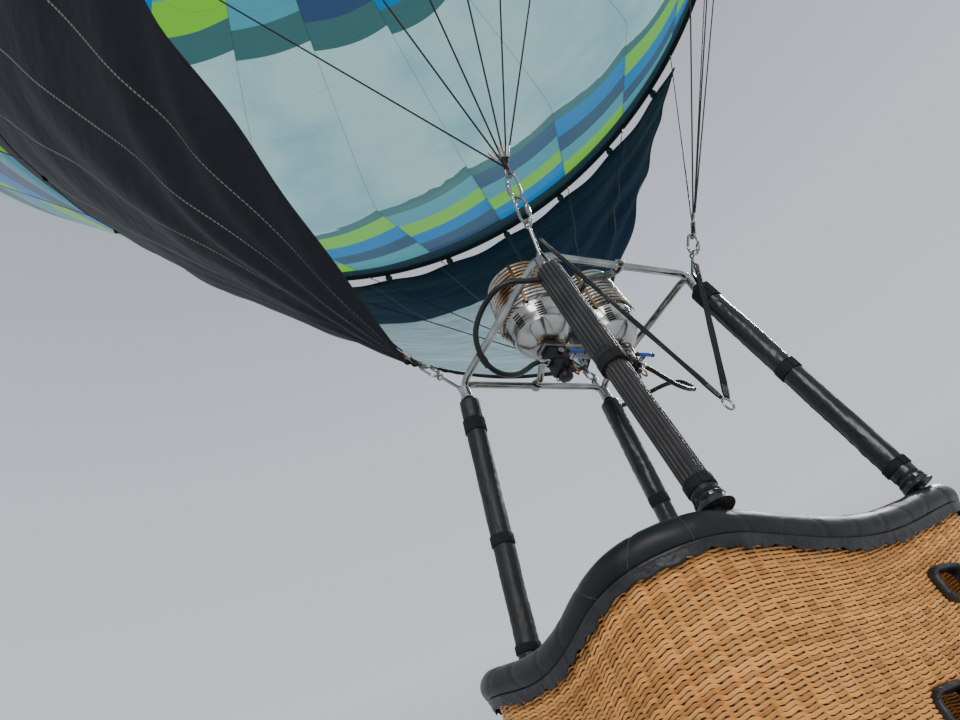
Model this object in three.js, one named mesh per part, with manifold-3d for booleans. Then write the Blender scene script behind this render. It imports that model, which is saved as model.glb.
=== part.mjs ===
// Hot air balloon, upright and fully inflated. Millimetres, +Z up.
// Origin: centre of the envelope's widest ring, on its axis. The basket hangs below it.
import * as THREE from "three";
import { mergeVertices } from "three/addons/utils/BufferGeometryUtils.js";
import Module from "manifold-3d";

const wasm = await Module();
wasm.setup();

// Driving dimensions
const SEAT = 0.3; // gap between faces that touch
const GORES = 23;
const FIRST_SEAM = THREE.MathUtils.degToRad(10.5); // a load tape's angle from +X
const GORE_FACETS = 2;
const AROUND = GORES * GORE_FACETS;
const ENVELOPE_RADIUS = 8400; // to the load tapes, at the widest ring
const CROWN_HEIGHT = 6700; // widest ring to the top of the dome
const SHOULDER_RADIUS = 4265; // arc below the widest ring
const CONE_ANGLE = THREE.MathUtils.degToRad(36); // cone wall from the vertical
const MOUTH_RADIUS = 2650;
const MOUTH_Z = -9300;
const FABRIC = 10;
const GORE_BULGE = 130;
const VENT_RADIUS = 2500; // hole in the crown
const VENT_SEAT_RADIUS = 2850; // end of the straight band that the vent panel seals on
const VENT_PANEL_RADIUS = 2750;
const BASE_BAND_Z = -8900; // top of the heat-proof band round the mouth

const HEM_WIDTH = 22;
const HEM_HEIGHT = 40;
const HEM_BOTTOM = MOUTH_Z - SEAT - HEM_HEIGHT;

const RIM_Z = MOUTH_Z - 4440; // where the uprights meet the basket's rim
const FRAME_Z = RIM_Z + 1100; // frame corners
const FRAME_X = 378;
const FRAME_Y = 351;
const FRAME_TUBE = 15;
const FRAME_RISE = 38; // side bars above the corners
const PIVOT_Z = FRAME_Z + FRAME_RISE; // both burner pivots

const BASKET_X = 735; // wall centre line
const BASKET_Y = 498;
const BASKET_CORNER = 270;
const WALL = 40;
const BELLY = 8; // the woven wall swells half way up
const BELLY_HEIGHT = 500;
const BAND_HEIGHT = 90;
const RIM_PAD_WIDTH = 46;
const RIM_PAD_HEIGHT = 44;
const RIM_LIFT = 36; // half the rise from the middles of the sides to the corners
const FLOOR_TOP = RIM_Z - 1020;
const FLOOR_BOARD = 18;
const SKID_HEIGHT = 40;

const ROD_RADIUS = 14;
const ROD_FOOT_X = 462;
const ROD_FOOT_Y = 492;
const ROD_SOCKET = 60; // depth of the rods in the rim
const ROD_TIP_DROP = 2.6; // a leaning rod's flat top stays under its corner block

const BURNER_X = 176;
const COIL_RADIUS = 143;
const COIL_TUBE = 7;
const COIL_TURNS = 11;

const UP = new THREE.Vector3(0, 0, 1);
const balloon = new THREE.Group();

// Materials
const finish = (color, roughness, metalness) =>
  new THREE.MeshStandardMaterial({ color, roughness, metalness });
const paleFabric = finish(0xb9cfcc, 0.6, 0);
const navyFabric = finish(0x10233c, 0.7, 0);
const charcoalFabric = finish(0x2a2c30, 0.8, 0);
const steel = finish(0xc4c6c8, 0.25, 1);
const heatedSteel = finish(0xa89a86, 0.35, 1);
const cable = finish(0x3a322e, 0.6, 0.4);
const darkPadding = finish(0x1c1d1e, 0.7, 0);
const leather = finish(0x201d1b, 0.55, 0);
const willow = finish(0xb98a50, 0.75, 0);
const timber = finish(0x9a7c52, 0.7, 0);
const blackPaint = finish(0x18191b, 0.5, 0.2);
const bluePlastic = finish(0x1f4fae, 0.45, 0);
const rubber = finish(0x141414, 0.55, 0);
const tapeWeb = finish(0x22303c, 0.8, 0);

function place(name, geometry, material) {
  const mesh = new THREE.Mesh(geometry, material);
  mesh.name = name;
  balloon.add(mesh);
  return mesh;
}

// A closed geometry as a solid, turned to face outwards.
function solid(geometry) {
  const bare = new THREE.BufferGeometry();
  bare.setAttribute("position", geometry.getAttribute("position").clone());
  if (geometry.index) bare.setIndex(geometry.index.clone());
  const merged = mergeVertices(bare, 1e-3);
  const vertProperties = new Float32Array(merged.attributes.position.array);
  const triVerts = new Uint32Array(merged.index.array);
  const made = new wasm.Manifold(new wasm.Mesh({ numProp: 3, vertProperties, triVerts }));
  if (made.volume() > 0) return made;
  for (let i = 0; i < triVerts.length; i += 3) {
    [triVerts[i + 1], triVerts[i + 2]] = [triVerts[i + 2], triVerts[i + 1]];
  }
  return new wasm.Manifold(new wasm.Mesh({ numProp: 3, vertProperties, triVerts }));
}

function geometryOf(made) {
  const mesh = made.getMesh();
  const geometry = new THREE.BufferGeometry();
  geometry.setAttribute("position", new THREE.BufferAttribute(mesh.vertProperties, 3));
  geometry.setIndex(new THREE.BufferAttribute(mesh.triVerts, 1));
  geometry.computeVertexNormals();
  return geometry;
}

function joined(...geometries) {
  return geometryOf(geometries.map(solid).reduce((sum, next) => sum.add(next)));
}

function cut(geometry, ...tools) {
  return geometryOf(tools.map(solid).reduce((left, tool) => left.subtract(tool), solid(geometry)));
}

const outward = (geometry) => geometryOf(solid(geometry));

// A body of revolution about +Z from [radius, height] pairs that close or end on the axis, with a
// corner on +X.
function turned(profile, segments = 24) {
  const points = profile.map(([radius, height]) => new THREE.Vector2(radius, height));
  return new THREE.LatheGeometry(points, segments).rotateX(Math.PI / 2).rotateZ(Math.PI / 2);
}

// Splits some of a geometry's quads along their other diagonals. The two faces of a thin wall then
// bend alike, and the wall keeps its thickness.
function splitAcross(geometry, firstQuad, quads) {
  const index = geometry.index;
  for (let corner = firstQuad * 6; corner < (firstQuad + quads) * 6; corner += 6) {
    index.setX(corner + 2, index.getX(corner + 4));
    index.setX(corner + 3, index.getX(corner));
  }
}

// A hoop of any route and section: point(along, round) gives a place for two shares from 0 to 1.
function hoop(point, steps, sides) {
  const geometry = new THREE.TorusGeometry(1, 0.5, sides, steps);
  const position = geometry.getAttribute("position");
  for (let j = 0; j <= sides; j++) {
    for (let i = 0; i <= steps; i++) {
      const [x, y, z] = point((i % steps) / steps, (j % sides) / sides);
      position.setXYZ(j * (steps + 1) + i, x, y, z);
    }
  }
  return geometry;
}

// A thin sheet: point(across, up, back) for shares from 0 to 1 and a face, 0 or 1.
function sheet(point, across, up) {
  const geometry = new THREE.BoxGeometry(1, 1, 1, across, up, 1);
  const position = geometry.getAttribute("position");
  for (let i = 0; i < position.count; i++) {
    const at = [position.getX(i) + 0.5, position.getY(i) + 0.5, position.getZ(i) > 0 ? 1 : 0];
    position.setXYZ(i, ...point(...at));
  }
  const back = geometry.groups[5];
  splitAcross(geometry, back.start / 6, back.count / 6);
  return geometry;
}

// A route through chosen points, with one station of the tube at each.
class Route extends THREE.Curve {
  constructor(points) {
    super();
    this.points = points;
  }
  getPoint(share, target = new THREE.Vector3()) {
    const last = this.points.length - 1;
    const place = Math.min(Math.max(share, 0), 1) * last;
    const index = Math.min(Math.floor(place), last - 1);
    return target.lerpVectors(this.points[index], this.points[index + 1], place - index);
  }
  getUtoTmapping(share) {
    return share;
  }
}

const through = (points, radius, sides) => tube(new Route(points), radius, points.length - 1, sides);

function tube(curve, radius, steps, sides = 8) {
  const section = new THREE.Shape();
  for (let i = 0; i < sides; i++) {
    const angle = (i / sides) * 2 * Math.PI;
    const corner = [radius * Math.cos(angle), radius * Math.sin(angle)];
    if (i) section.lineTo(...corner);
    else section.moveTo(...corner);
  }
  section.closePath();
  return new THREE.ExtrudeGeometry(section, { steps, extrudePath: curve, curveSegments: 1 });
}

const vector = (x, y, z) => new THREE.Vector3(x, y, z);

// A straight round bar between two points.
function bar(from, to, radius, sides = 8, endRadius = radius) {
  const length = from.distanceTo(to);
  const geometry = new THREE.CylinderGeometry(endRadius, radius, length, sides);
  geometry.rotateX(Math.PI / 2).translate(0, 0, length / 2);
  const turn = new THREE.Quaternion().setFromUnitVectors(UP, to.clone().sub(from).normalize());
  return geometry.applyQuaternion(turn).translate(from.x, from.y, from.z);
}

function block(x, y, z, width, depth, height) {
  return new THREE.BoxGeometry(width, depth, height).translate(x, y, z);
}

// Meridian of the load tapes, from the vent down to the mouth.
const domeZ = (radius) => CROWN_HEIGHT * Math.sqrt(1 - (radius / ENVELOPE_RADIUS) ** 2);
const coneRadius = (z) => MOUTH_RADIUS + (z - MOUTH_Z) * Math.tan(CONE_ANGLE);
function meridian() {
  const points = [[VENT_RADIUS, domeZ(VENT_RADIUS)]];
  const start = Math.asin(VENT_SEAT_RADIUS / ENVELOPE_RADIUS);
  const domeSteps = 6;
  for (let i = 0; i < domeSteps; i++) {
    const angle = start + ((Math.PI / 2 - start) * i) / domeSteps;
    points.push([ENVELOPE_RADIUS * Math.sin(angle), CROWN_HEIGHT * Math.cos(angle)]);
  }
  const shoulderSteps = 4;
  for (let i = 0; i <= shoulderSteps; i++) {
    const angle = (CONE_ANGLE * i) / shoulderSteps;
    const radius = ENVELOPE_RADIUS - SHOULDER_RADIUS * (1 - Math.cos(angle));
    points.push([radius, -SHOULDER_RADIUS * Math.sin(angle)]);
  }
  const coneTop = -SHOULDER_RADIUS * Math.sin(CONE_ANGLE);
  const coneSteps = 4;
  for (let i = 1; i <= coneSteps; i++) {
    const z = coneTop + ((BASE_BAND_Z - coneTop) * i) / coneSteps;
    points.push([coneRadius(z), z]);
  }
  points.push([MOUTH_RADIUS, MOUTH_Z]);
  return points;
}

// The fabric stands proud of the load tapes between them, most at the widest ring.
function bulge(radius, share) {
  const tight = (radius - VENT_SEAT_RADIUS) / (ENVELOPE_RADIUS - VENT_SEAT_RADIUS);
  return GORE_BULGE * Math.max(0, tight) * Math.sin(Math.PI * share);
}

// Outer and inner places of the fabric down the meridian, with the way that it runs there.
function fabricWall(points) {
  return points.map(([radius, z], i) => {
    const before = points[Math.max(0, i - 1)];
    const after = points[Math.min(points.length - 1, i + 1)];
    const way = new THREE.Vector2(after[0] - before[0], after[1] - before[1]).normalize();
    return { outer: [radius, z], inner: [radius + way.y * FABRIC, z - way.x * FABRIC], way };
  });
}

const moved = ([radius, z], way, distance) => [radius + way.x * distance, z + way.y * distance];

// A closed ring of fabric between two places of the wall, its top edge moved down by a gap.
function shell(wall, gap) {
  const rows = wall.map(({ outer, inner, way }, i) => {
    const drop = i ? 0 : gap;
    return { outer: moved(outer, way, drop), inner: moved(inner, way, drop) };
  });
  const back = [...rows].reverse();
  const loop = [...rows.map((row) => row.outer), ...back.map((row) => row.inner)];
  const outerOf = [...rows, ...back].map((row) => row.outer);
  const geometry = hoop(
    (along, round) => {
      const index = Math.round(round * loop.length) % loop.length;
      const facet = Math.round(along * AROUND);
      const share = (facet % GORE_FACETS) / GORE_FACETS;
      const radius = loop[index][0] + bulge(outerOf[index][0], share);
      const angle = FIRST_SEAM + along * 2 * Math.PI;
      return [radius * Math.cos(angle), radius * Math.sin(angle), loop[index][1]];
    },
    AROUND,
    loop.length,
  );
  splitAcross(geometry, AROUND * rows.length, AROUND * rows.length);
  return geometry;
}

// Zones of cloth, from one place of the meridian to another.
const ZONES = [
  { name: "envelope_top_panels", from: 0, to: 4, fabric: paleFabric },
  { name: "envelope_side_panels", from: 4, to: 9, fabric: paleFabric },
  { name: "envelope_cone_panels", from: 9, to: 15, fabric: paleFabric },
  { name: "mouth_band", from: 15, to: 16, fabric: navyFabric },
];

function buildEnvelope() {
  const wall = fabricWall(meridian());
  for (const { name, from, to, fabric } of ZONES) {
    place(name, outward(shell(wall.slice(from, to + 1), from ? SEAT : 0)), fabric);
  }
}

function buildHem() {
  const top = MOUTH_Z - SEAT;
  const profile = [
    [MOUTH_RADIUS - HEM_WIDTH, top],
    [MOUTH_RADIUS, top],
    [MOUTH_RADIUS, HEM_BOTTOM],
    [MOUTH_RADIUS - HEM_WIDTH, HEM_BOTTOM],
    [MOUTH_RADIUS - HEM_WIDTH, top],
  ];
  place("mouth_hem", outward(turned(profile, AROUND).rotateZ(FIRST_SEAM)), navyFabric);
}

// The vent panel lies under the crown hole, its edge 0.4 mm below the fabric round it.
function buildVent() {
  const edge = [VENT_RADIUS, domeZ(VENT_RADIUS)];
  const seat = [VENT_SEAT_RADIUS, domeZ(VENT_SEAT_RADIUS)];
  const fall = (seat[1] - edge[1]) / (seat[0] - edge[0]);
  const below = FABRIC * Math.hypot(1, fall) + 2 * SEAT;
  const lip = edge[1] + (VENT_PANEL_RADIUS - VENT_RADIUS) * fall;
  const steps = [0, 1250];
  const top = steps.map((radius) => [radius, domeZ(radius) - below]);
  top.push([VENT_RADIUS, edge[1] - below], [VENT_PANEL_RADIUS, lip - below]);
  const under = top.map(([radius, z]) => [radius, z - FABRIC]).reverse();
  const panel = turned([...top, ...under], AROUND).rotateZ(FIRST_SEAM);
  place("vent_panel", outward(panel), charcoalFabric);
}

// A ring at the very top with one tape to each load tape, across the vent hole.
function buildCrown() {
  const ringRadius = 150;
  const ringTube = 12;
  const tapeWidth = 50;
  const tapeThickness = 5;
  const tapeEnd = 2780;
  const hub = new THREE.TorusGeometry(ringRadius, ringTube, 6, 24);
  hub.translate(0, 0, domeZ(0) + SEAT + ringTube);
  const seatEdge = [VENT_RADIUS, domeZ(VENT_RADIUS)];
  const seatFall = (domeZ(VENT_SEAT_RADIUS) - seatEdge[1]) / (VENT_SEAT_RADIUS - VENT_RADIUS);
  const height = (radius) =>
    radius <= VENT_RADIUS ? domeZ(radius) : seatEdge[1] + (radius - VENT_RADIUS) * seatFall;
  const stations = [ringRadius, 1300, VENT_RADIUS, tapeEnd];
  const pieces = [hub];
  for (let gore = 0; gore < GORES; gore++) {
    const strip = sheet(
      (across, along, face) => {
        const radius = stations[Math.round(along * (stations.length - 1))];
        const z = height(radius) + 2 * SEAT + face * tapeThickness;
        return [radius, (across - 0.5) * tapeWidth, z];
      },
      1,
      stations.length - 1,
    );
    pieces.push(strip.rotateZ(FIRST_SEAM + (gore / GORES) * 2 * Math.PI));
  }
  place("crown_ring", joined(...pieces), tapeWeb);
}

// Corners: 0 is -X -Y, then round by a quarter turn each. Tapes are those that its wires run to.
const corners = [
  { name: "near_left", x: -1, y: -1, links: 2, tapes: [11, 13, 14, 15, 16, 17] },
  { name: "near_right", x: 1, y: -1, links: 1, tapes: [18, 19, 20, 21, 22] },
  { name: "far_right", x: 1, y: 1, links: 1, tapes: [0, 1, 2, 3, 4, 5] },
  { name: "far_left", x: -1, y: 1, links: 1, tapes: [6, 7, 8, 9, 10] },
];
const EYE = { radius: 15, rod: 5, height: 150, stem: 7 };
const LINK = { bend: 26, rod: 5.5, straight: 26, steps: 12 };
const THIMBLE = { radius: 14, rod: 5 };
const WIRE = { radius: 4, sides: 6, ferrule: 9, ferruleLength: 40 };

// Each corner's wires, and the way between them that its links hang along.
const CHAINS = corners.map((corner) => {
  const foot = vector(corner.x * FRAME_X, corner.y * FRAME_Y, FRAME_Z);
  const radius = MOUTH_RADIUS - HEM_WIDTH / 2;
  const tops = corner.tapes.map((tape) => {
    const angle = FIRST_SEAM + (tape / GORES) * 2 * Math.PI;
    return vector(radius * Math.cos(angle), radius * Math.sin(angle), HEM_BOTTOM + 20);
  });
  const mean = tops.reduce((sum, top) => sum.add(top), vector(0, 0, 0)).divideScalar(tops.length);
  const way = mean.sub(foot).normalize();
  const turn = new THREE.Quaternion().setFromUnitVectors(UP, way);
  const hung = (geometry) => geometry.applyQuaternion(turn).translate(foot.x, foot.y, foot.z);
  return { ...corner, foot, tops, way, hung };
});

// An oval link in the plane of Z and its own width.
function link(centreZ) {
  const geometry = new THREE.TorusGeometry(LINK.bend, LINK.rod, 6, LINK.steps);
  geometry.rotateZ(Math.PI / LINK.steps);
  const position = geometry.getAttribute("position");
  for (let i = 0; i < position.count; i++) {
    const shift = position.getY(i) > 0 ? LINK.straight : -LINK.straight;
    position.setY(i, position.getY(i) + shift);
  }
  return geometry.rotateX(Math.PI / 2).translate(0, 0, centreZ);
}

const linkBite = EYE.radius - EYE.rod - LINK.rod - SEAT;
const linkReach = LINK.bend * Math.cos(Math.PI / LINK.steps) + LINK.straight;

function buildRigging() {
  for (const chain of CHAINS) {
    let lower = EYE.height + linkBite;
    let turn = 0;
    for (let i = 0; i < chain.links; i++) {
      const centre = lower + linkReach;
      const number = chain.links > 1 ? "_" + (i + 1) : "";
      const piece = chain.hung(link(centre).rotateZ(turn));
      place("quick_link_" + chain.name + number, outward(piece), steel);
      lower = centre + linkReach - LINK.rod * 2 - SEAT;
      turn += Math.PI / 2;
    }
    const thimbleZ = lower + LINK.rod - THIMBLE.rod + THIMBLE.radius;
    const thimble = new THREE.TorusGeometry(THIMBLE.radius, THIMBLE.rod, 6, 12);
    thimble.rotateX(Math.PI / 2).rotateZ(turn);
    const pieces = [chain.hung(thimble.translate(0, 0, thimbleZ))];
    const at = (height) => chain.foot.clone().addScaledVector(chain.way, height);
    const knot = at(thimbleZ + THIMBLE.radius + 8);
    const ferruleTop = knot.clone().addScaledVector(chain.way, WIRE.ferruleLength);
    pieces.push(bar(at(thimbleZ + THIMBLE.radius - 3), ferruleTop, WIRE.ferrule));
    for (const top of chain.tops) pieces.push(bar(knot, top, WIRE.radius, WIRE.sides));
    const above = block(0, 0, HEM_BOTTOM - SEAT + 500, 8000, 8000, 1000);
    place("flying_wires_" + chain.name, cut(joined(...pieces), above), cable);
  }
}

// Two straps hang from the near stems to a ring, in front of the frame's near bar.
const BRIDLE = { width: 28, thick: 3, ring: 22, rod: 4, top: 66, front: 22, ringZ: RIM_Z + 410 };

function buildBridle() {
  const ringY = -FRAME_Y - 47;
  const ring = new THREE.TorusGeometry(BRIDLE.ring, BRIDLE.rod, 8, 16).rotateX(Math.PI / 2);
  place("bridle_ring", outward(ring.translate(0, ringY, BRIDLE.ringZ)), steel);
  for (const chain of CHAINS.filter((entry) => entry.y < 0)) {
    const start = chain.foot.clone().addScaledVector(chain.way, BRIDLE.top / chain.way.z);
    start.y -= BRIDLE.front;
    const end = vector(0, ringY, BRIDLE.ringZ);
    const along = end.clone().sub(start).normalize();
    end.addScaledVector(along, -BRIDLE.ring - BRIDLE.rod - SEAT);
    const wide = along.clone().cross(vector(0, 1, 0)).normalize();
    const strap = sheet(
      (across, share, face) => {
        const p = start.clone().lerp(end, share);
        p.addScaledVector(wide, (across - 0.5) * BRIDLE.width);
        return [p.x, p.y + (face - 0.5) * BRIDLE.thick, p.z];
      },
      1,
      8,
    );
    place("bridle_strap_" + chain.name, outward(strap), tapeWeb);
  }
}

// The side bars stand above the corners and bend down into them.
function sideBar(from, to) {
  const along = to.clone().sub(from).normalize();
  const rise = vector(0, 0, FRAME_RISE);
  const inset = along.clone().multiplyScalar(60);
  const knee = along.clone().multiplyScalar(18);
  const high1 = from.clone().add(inset).add(rise);
  const high2 = to.clone().sub(inset).add(rise);
  const bend1 = new THREE.QuadraticBezierCurve3(from, from.clone().add(knee).add(rise), high1);
  const bend2 = new THREE.QuadraticBezierCurve3(high2, to.clone().sub(knee).add(rise), to);
  return through([...bend1.getPoints(4), ...bend2.getPoints(4)], FRAME_TUBE);
}

const CLAMP = { radius: 24, low: -40, high: 22 };
const PIVOT = { outer: 24, bore: 10.3, pin: 10, length: 26, gap: 6 };

function buildLoadFrame() {
  const pieces = [];
  CHAINS.forEach((chain, i) => {
    const { foot, hung } = chain;
    pieces.push(sideBar(foot, CHAINS[(i + 1) % CHAINS.length].foot));
    const low = foot.clone().setZ(FRAME_Z + CLAMP.low);
    pieces.push(bar(low, foot.clone().setZ(FRAME_Z + CLAMP.high), CLAMP.radius, 12));
    pieces.push(hung(bar(vector(0, 0, 15), vector(0, 0, EYE.height - EYE.radius + 1), EYE.stem)));
    const eye = new THREE.TorusGeometry(EYE.radius, EYE.rod, 6, 12);
    pieces.push(hung(eye.rotateX(Math.PI / 2).rotateZ(Math.PI / 2).translate(0, 0, EYE.height)));
  });
  for (const side of [-1, 1]) {
    const from = vector(0, side * FRAME_Y - PIVOT.length / 2, PIVOT_Z);
    pieces.push(bar(from, from.clone().add(vector(0, PIVOT.length, 0)), PIVOT.outer, 16));
  }
  const bore = bar(vector(0, -FRAME_Y - 40, PIVOT_Z), vector(0, FRAME_Y + 40, PIVOT_Z), PIVOT.bore, 16);
  place("load_frame", cut(joined(...pieces), bore), steel);
}

const RODS = corners.map((corner) => {
  const foot = vector(corner.x * ROD_FOOT_X, corner.y * ROD_FOOT_Y, RIM_Z);
  const head = vector(corner.x * FRAME_X, corner.y * FRAME_Y, FRAME_Z + CLAMP.low);
  return { name: corner.name, foot, head, way: head.clone().sub(foot).normalize() };
});

// Sleeves: radius between the cuffs, then cuffs as [share of the rod's length, height, radius].
const SLEEVE_LOW = 26;
const SLEEVES = {
  near_left: { radius: 37, upper: 45, split: 0.52, cuffs: [[0.05, 34, 42], [0.5, 40, 48]] },
  near_right: { radius: 40, upper: 40, split: 0.5, cuffs: [[0.06, 30, 46], [0.5, 46, 45], [0.91, 80, 45]] },
  far_right: { radius: 40, upper: 43, split: 0.5, cuffs: [[0.06, 30, 46], [0.5, 46, 45]] },
  far_left: { radius: 40, upper: 40, split: 0.5, cuffs: [[0.06, 30, 46], [0.41, 40, 45], [0.85, 60, 45]] },
};

function buildUprights() {
  for (const rod of RODS) {
    const base = rod.foot.clone().addScaledVector(rod.way, -ROD_SOCKET);
    const tip = rod.head.clone().addScaledVector(rod.way, -ROD_TIP_DROP);
    place("upright_rod_" + rod.name, outward(bar(base, tip, ROD_RADIUS, 12)), blackPaint);
    const length = rod.foot.distanceTo(rod.head);
    const high = length - 8;
    const bore = ROD_RADIUS + SEAT;
    const { radius, upper, split, cuffs } = SLEEVES[rod.name];
    const bare = (height) => (height < split * length ? radius : upper);
    const profile = [[bore, SLEEVE_LOW], [radius - 8, SLEEVE_LOW], [radius, SLEEVE_LOW + 10]];
    for (const [share, height, cuff] of cuffs) {
      const low = share * length;
      const top = Math.min(low + height, high - 12);
      profile.push([bare(low - 1), low - 4], [cuff, low], [cuff, top], [bare(top + 5), top + 4]);
    }
    profile.push([upper, high - 10], [upper - 10, high], [bore, high], [bore, SLEEVE_LOW]);
    const sleeve = turned(profile, 12);
    const turn = new THREE.Quaternion().setFromUnitVectors(UP, rod.way);
    sleeve.applyQuaternion(turn).translate(rod.foot.x, rod.foot.y, rod.foot.z);
    place("upright_sleeve_" + rod.name, outward(sleeve), darkPadding);
  }
}

// Fuel hose from the top of an upright's sleeve to a valve block, heights from the frame's corners.
const HOSE_RADIUS = 10;
const HOSE_CUT_SIDES = 24;
const HOSE_ROUTE = [
  [-382, -355, -90],
  [-424, -339, -87],
  [-470, -322, -80],
  [-520, -300, -68],
  [-556, -265, -68],
  [-577, -215, -78],
  [-590, -165, -97],
  [-597, -120, -128],
  [-592, -88, -170],
  [-570, -62, -212],
  [-530, -42, -240],
  [-475, -28, -248],
  [-415, -18, -235],
  [-360, -10, -205],
  [-310, -4, -172],
  [-265, 0, -151],
  [-240, 0, -150],
  [-218.6, 0, -150],
];

function buildHoses() {
  const sides = [["left", 1, "near_left"], ["right", -1, "far_right"]];
  for (const [name, side, upright] of sides) {
    const points = HOSE_ROUTE.map(([x, y, z]) => vector(side * x, side * y, FRAME_Z + z));
    const hose = tube(new THREE.CatmullRomCurve3(points), HOSE_RADIUS, 38, 8);
    const rod = RODS.find((entry) => entry.name === upright);
    const low = rod.head.clone().addScaledVector(rod.way, -120);
    const around = (SLEEVES[upright].upper + SEAT) / Math.cos(Math.PI / HOSE_CUT_SIDES);
    const high = rod.head.clone().addScaledVector(rod.way, 20);
    const sleeve = bar(low, high, around, HOSE_CUT_SIDES);
    place("fuel_hose_" + name, cut(hose, sleeve), rubber);
  }
}

// Rounded rectangle of the basket's wall: centre line, outward normal and the rim's lift.
function basketOutline(cornerSteps = 6, sideSteps = 4) {
  const points = [];
  const quarters = [[1, 1], [-1, 1], [-1, -1], [1, -1]];
  quarters.forEach(([sx, sy], quarter) => {
    const cx = sx * (BASKET_X - BASKET_CORNER);
    const cy = sy * (BASKET_Y - BASKET_CORNER);
    for (let i = 0; i <= cornerSteps; i++) {
      const angle = ((quarter + i / cornerSteps) * Math.PI) / 2;
      const nx = Math.cos(angle);
      const ny = Math.sin(angle);
      points.push({ x: cx + BASKET_CORNER * nx, y: cy + BASKET_CORNER * ny, nx, ny });
    }
    const last = points[points.length - 1];
    const [tx, ty] = quarters[(quarter + 1) % 4];
    const nextX = tx * (BASKET_X - BASKET_CORNER) + BASKET_CORNER * last.nx;
    const nextY = ty * (BASKET_Y - BASKET_CORNER) + BASKET_CORNER * last.ny;
    for (let i = 1; i < sideSteps; i++) {
      const share = i / sideSteps;
      const x = last.x + (nextX - last.x) * share;
      const y = last.y + (nextY - last.y) * share;
      points.push({ x, y, nx: last.nx, ny: last.ny });
    }
  });
  const cornerX = BASKET_X - BASKET_CORNER * (1 - Math.SQRT1_2);
  const cornerY = BASKET_Y - BASKET_CORNER * (1 - Math.SQRT1_2);
  for (const p of points) {
    const away = Math.max(1 - Math.abs(p.x) / cornerX, 1 - Math.abs(p.y) / cornerY, 0);
    p.lift = RIM_LIFT * Math.cos(Math.min(1, away) * Math.PI);
  }
  return points;
}

function basketHoop(section) {
  const outline = basketOutline();
  return hoop(
    (along, round) => {
      const p = outline[Math.round(along * outline.length) % outline.length];
      const [out, z] = section[Math.round(round * section.length) % section.length](p);
      return [p.x + p.nx * out, p.y + p.ny * out, z];
    },
    outline.length,
    section.length,
  );
}

// Holes in the long sides to climb in by.
const FOOTHOLD = { width: 150, height: 90 };
const FOOTHOLDS = [
  { x: 221, side: -1, below: 305 },
  { x: -115, side: -1, below: 560 },
  { x: -221, side: 1, below: 305 },
  { x: 115, side: 1, below: 560 },
];
const SKID = { length: 1180, width: 70, spacing: 340 };

function buildBasket() {
  const padMiddle = (p) => RIM_Z - RIM_PAD_HEIGHT - RIM_LIFT + p.lift;
  const padBottom = (p) => padMiddle(p) - RIM_PAD_HEIGHT - 4 * SEAT;
  const wall = basketHoop([
    (p) => [WALL / 2, FLOOR_TOP + SEAT],
    (p) => [WALL / 2 + BELLY, FLOOR_TOP + BELLY_HEIGHT],
    (p) => [WALL / 2, padBottom(p)],
    (p) => [-WALL / 2, padBottom(p)],
    (p) => [-WALL / 2 + BELLY, FLOOR_TOP + BELLY_HEIGHT],
    (p) => [-WALL / 2, FLOOR_TOP + SEAT],
  ]);
  const footholds = FOOTHOLDS.map(({ x, side, below }) =>
    block(x, side * BASKET_Y, RIM_Z - below, FOOTHOLD.width, 200, FOOTHOLD.height),
  );
  place("basket_wall", cut(wall, ...footholds), willow);

  const padSides = 10;
  const pad = basketHoop(
    Array.from({ length: padSides }, (_, i) => (p) => {
      const angle = ((i + 0.5) / padSides) * 2 * Math.PI - Math.PI / 2;
      const flat = Math.cos(Math.PI / padSides);
      const out = (RIM_PAD_WIDTH * Math.cos(angle)) / flat;
      return [out, padMiddle(p) + (RIM_PAD_HEIGHT * Math.sin(angle)) / flat];
    }),
  );
  const sockets = RODS.map((rod) => {
    const low = rod.foot.clone().addScaledVector(rod.way, -ROD_SOCKET - SEAT);
    const high = rod.foot.clone().addScaledVector(rod.way, 200);
    return bar(low, high, ROD_RADIUS + SEAT, 12);
  });
  place("rim_pad", cut(pad, ...sockets), leather);

  const board = new THREE.Shape();
  basketOutline().forEach((p, i) => {
    const at = [p.x + p.nx * (WALL / 2), p.y + p.ny * (WALL / 2)];
    if (i) board.lineTo(...at);
    else board.moveTo(...at);
  });
  const floor = new THREE.ExtrudeGeometry(board, { depth: FLOOR_BOARD, bevelEnabled: false });
  place("basket_floor", outward(floor.translate(0, 0, FLOOR_TOP - FLOOR_BOARD)), timber);

  const bandLow = WALL / 2 + SEAT;
  const bandHigh = bandLow + (BELLY * BAND_HEIGHT) / BELLY_HEIGHT;
  const band = basketHoop([
    () => [bandLow, FLOOR_TOP - FLOOR_BOARD],
    () => [bandLow + 6, FLOOR_TOP - FLOOR_BOARD],
    () => [bandHigh + 6, FLOOR_TOP + BAND_HEIGHT],
    () => [bandHigh, FLOOR_TOP + BAND_HEIGHT],
  ]);
  place("base_band", outward(band), leather);

  const skidTop = FLOOR_TOP - FLOOR_BOARD - SEAT;
  [-1, 0, 1].forEach((row, i) => {
    const z = skidTop - SKID_HEIGHT / 2;
    const skid = block(0, row * SKID.spacing, z, SKID.length, SKID.width, SKID_HEIGHT);
    place("skid_" + (i + 1), skid, timber);
  });
}

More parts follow.
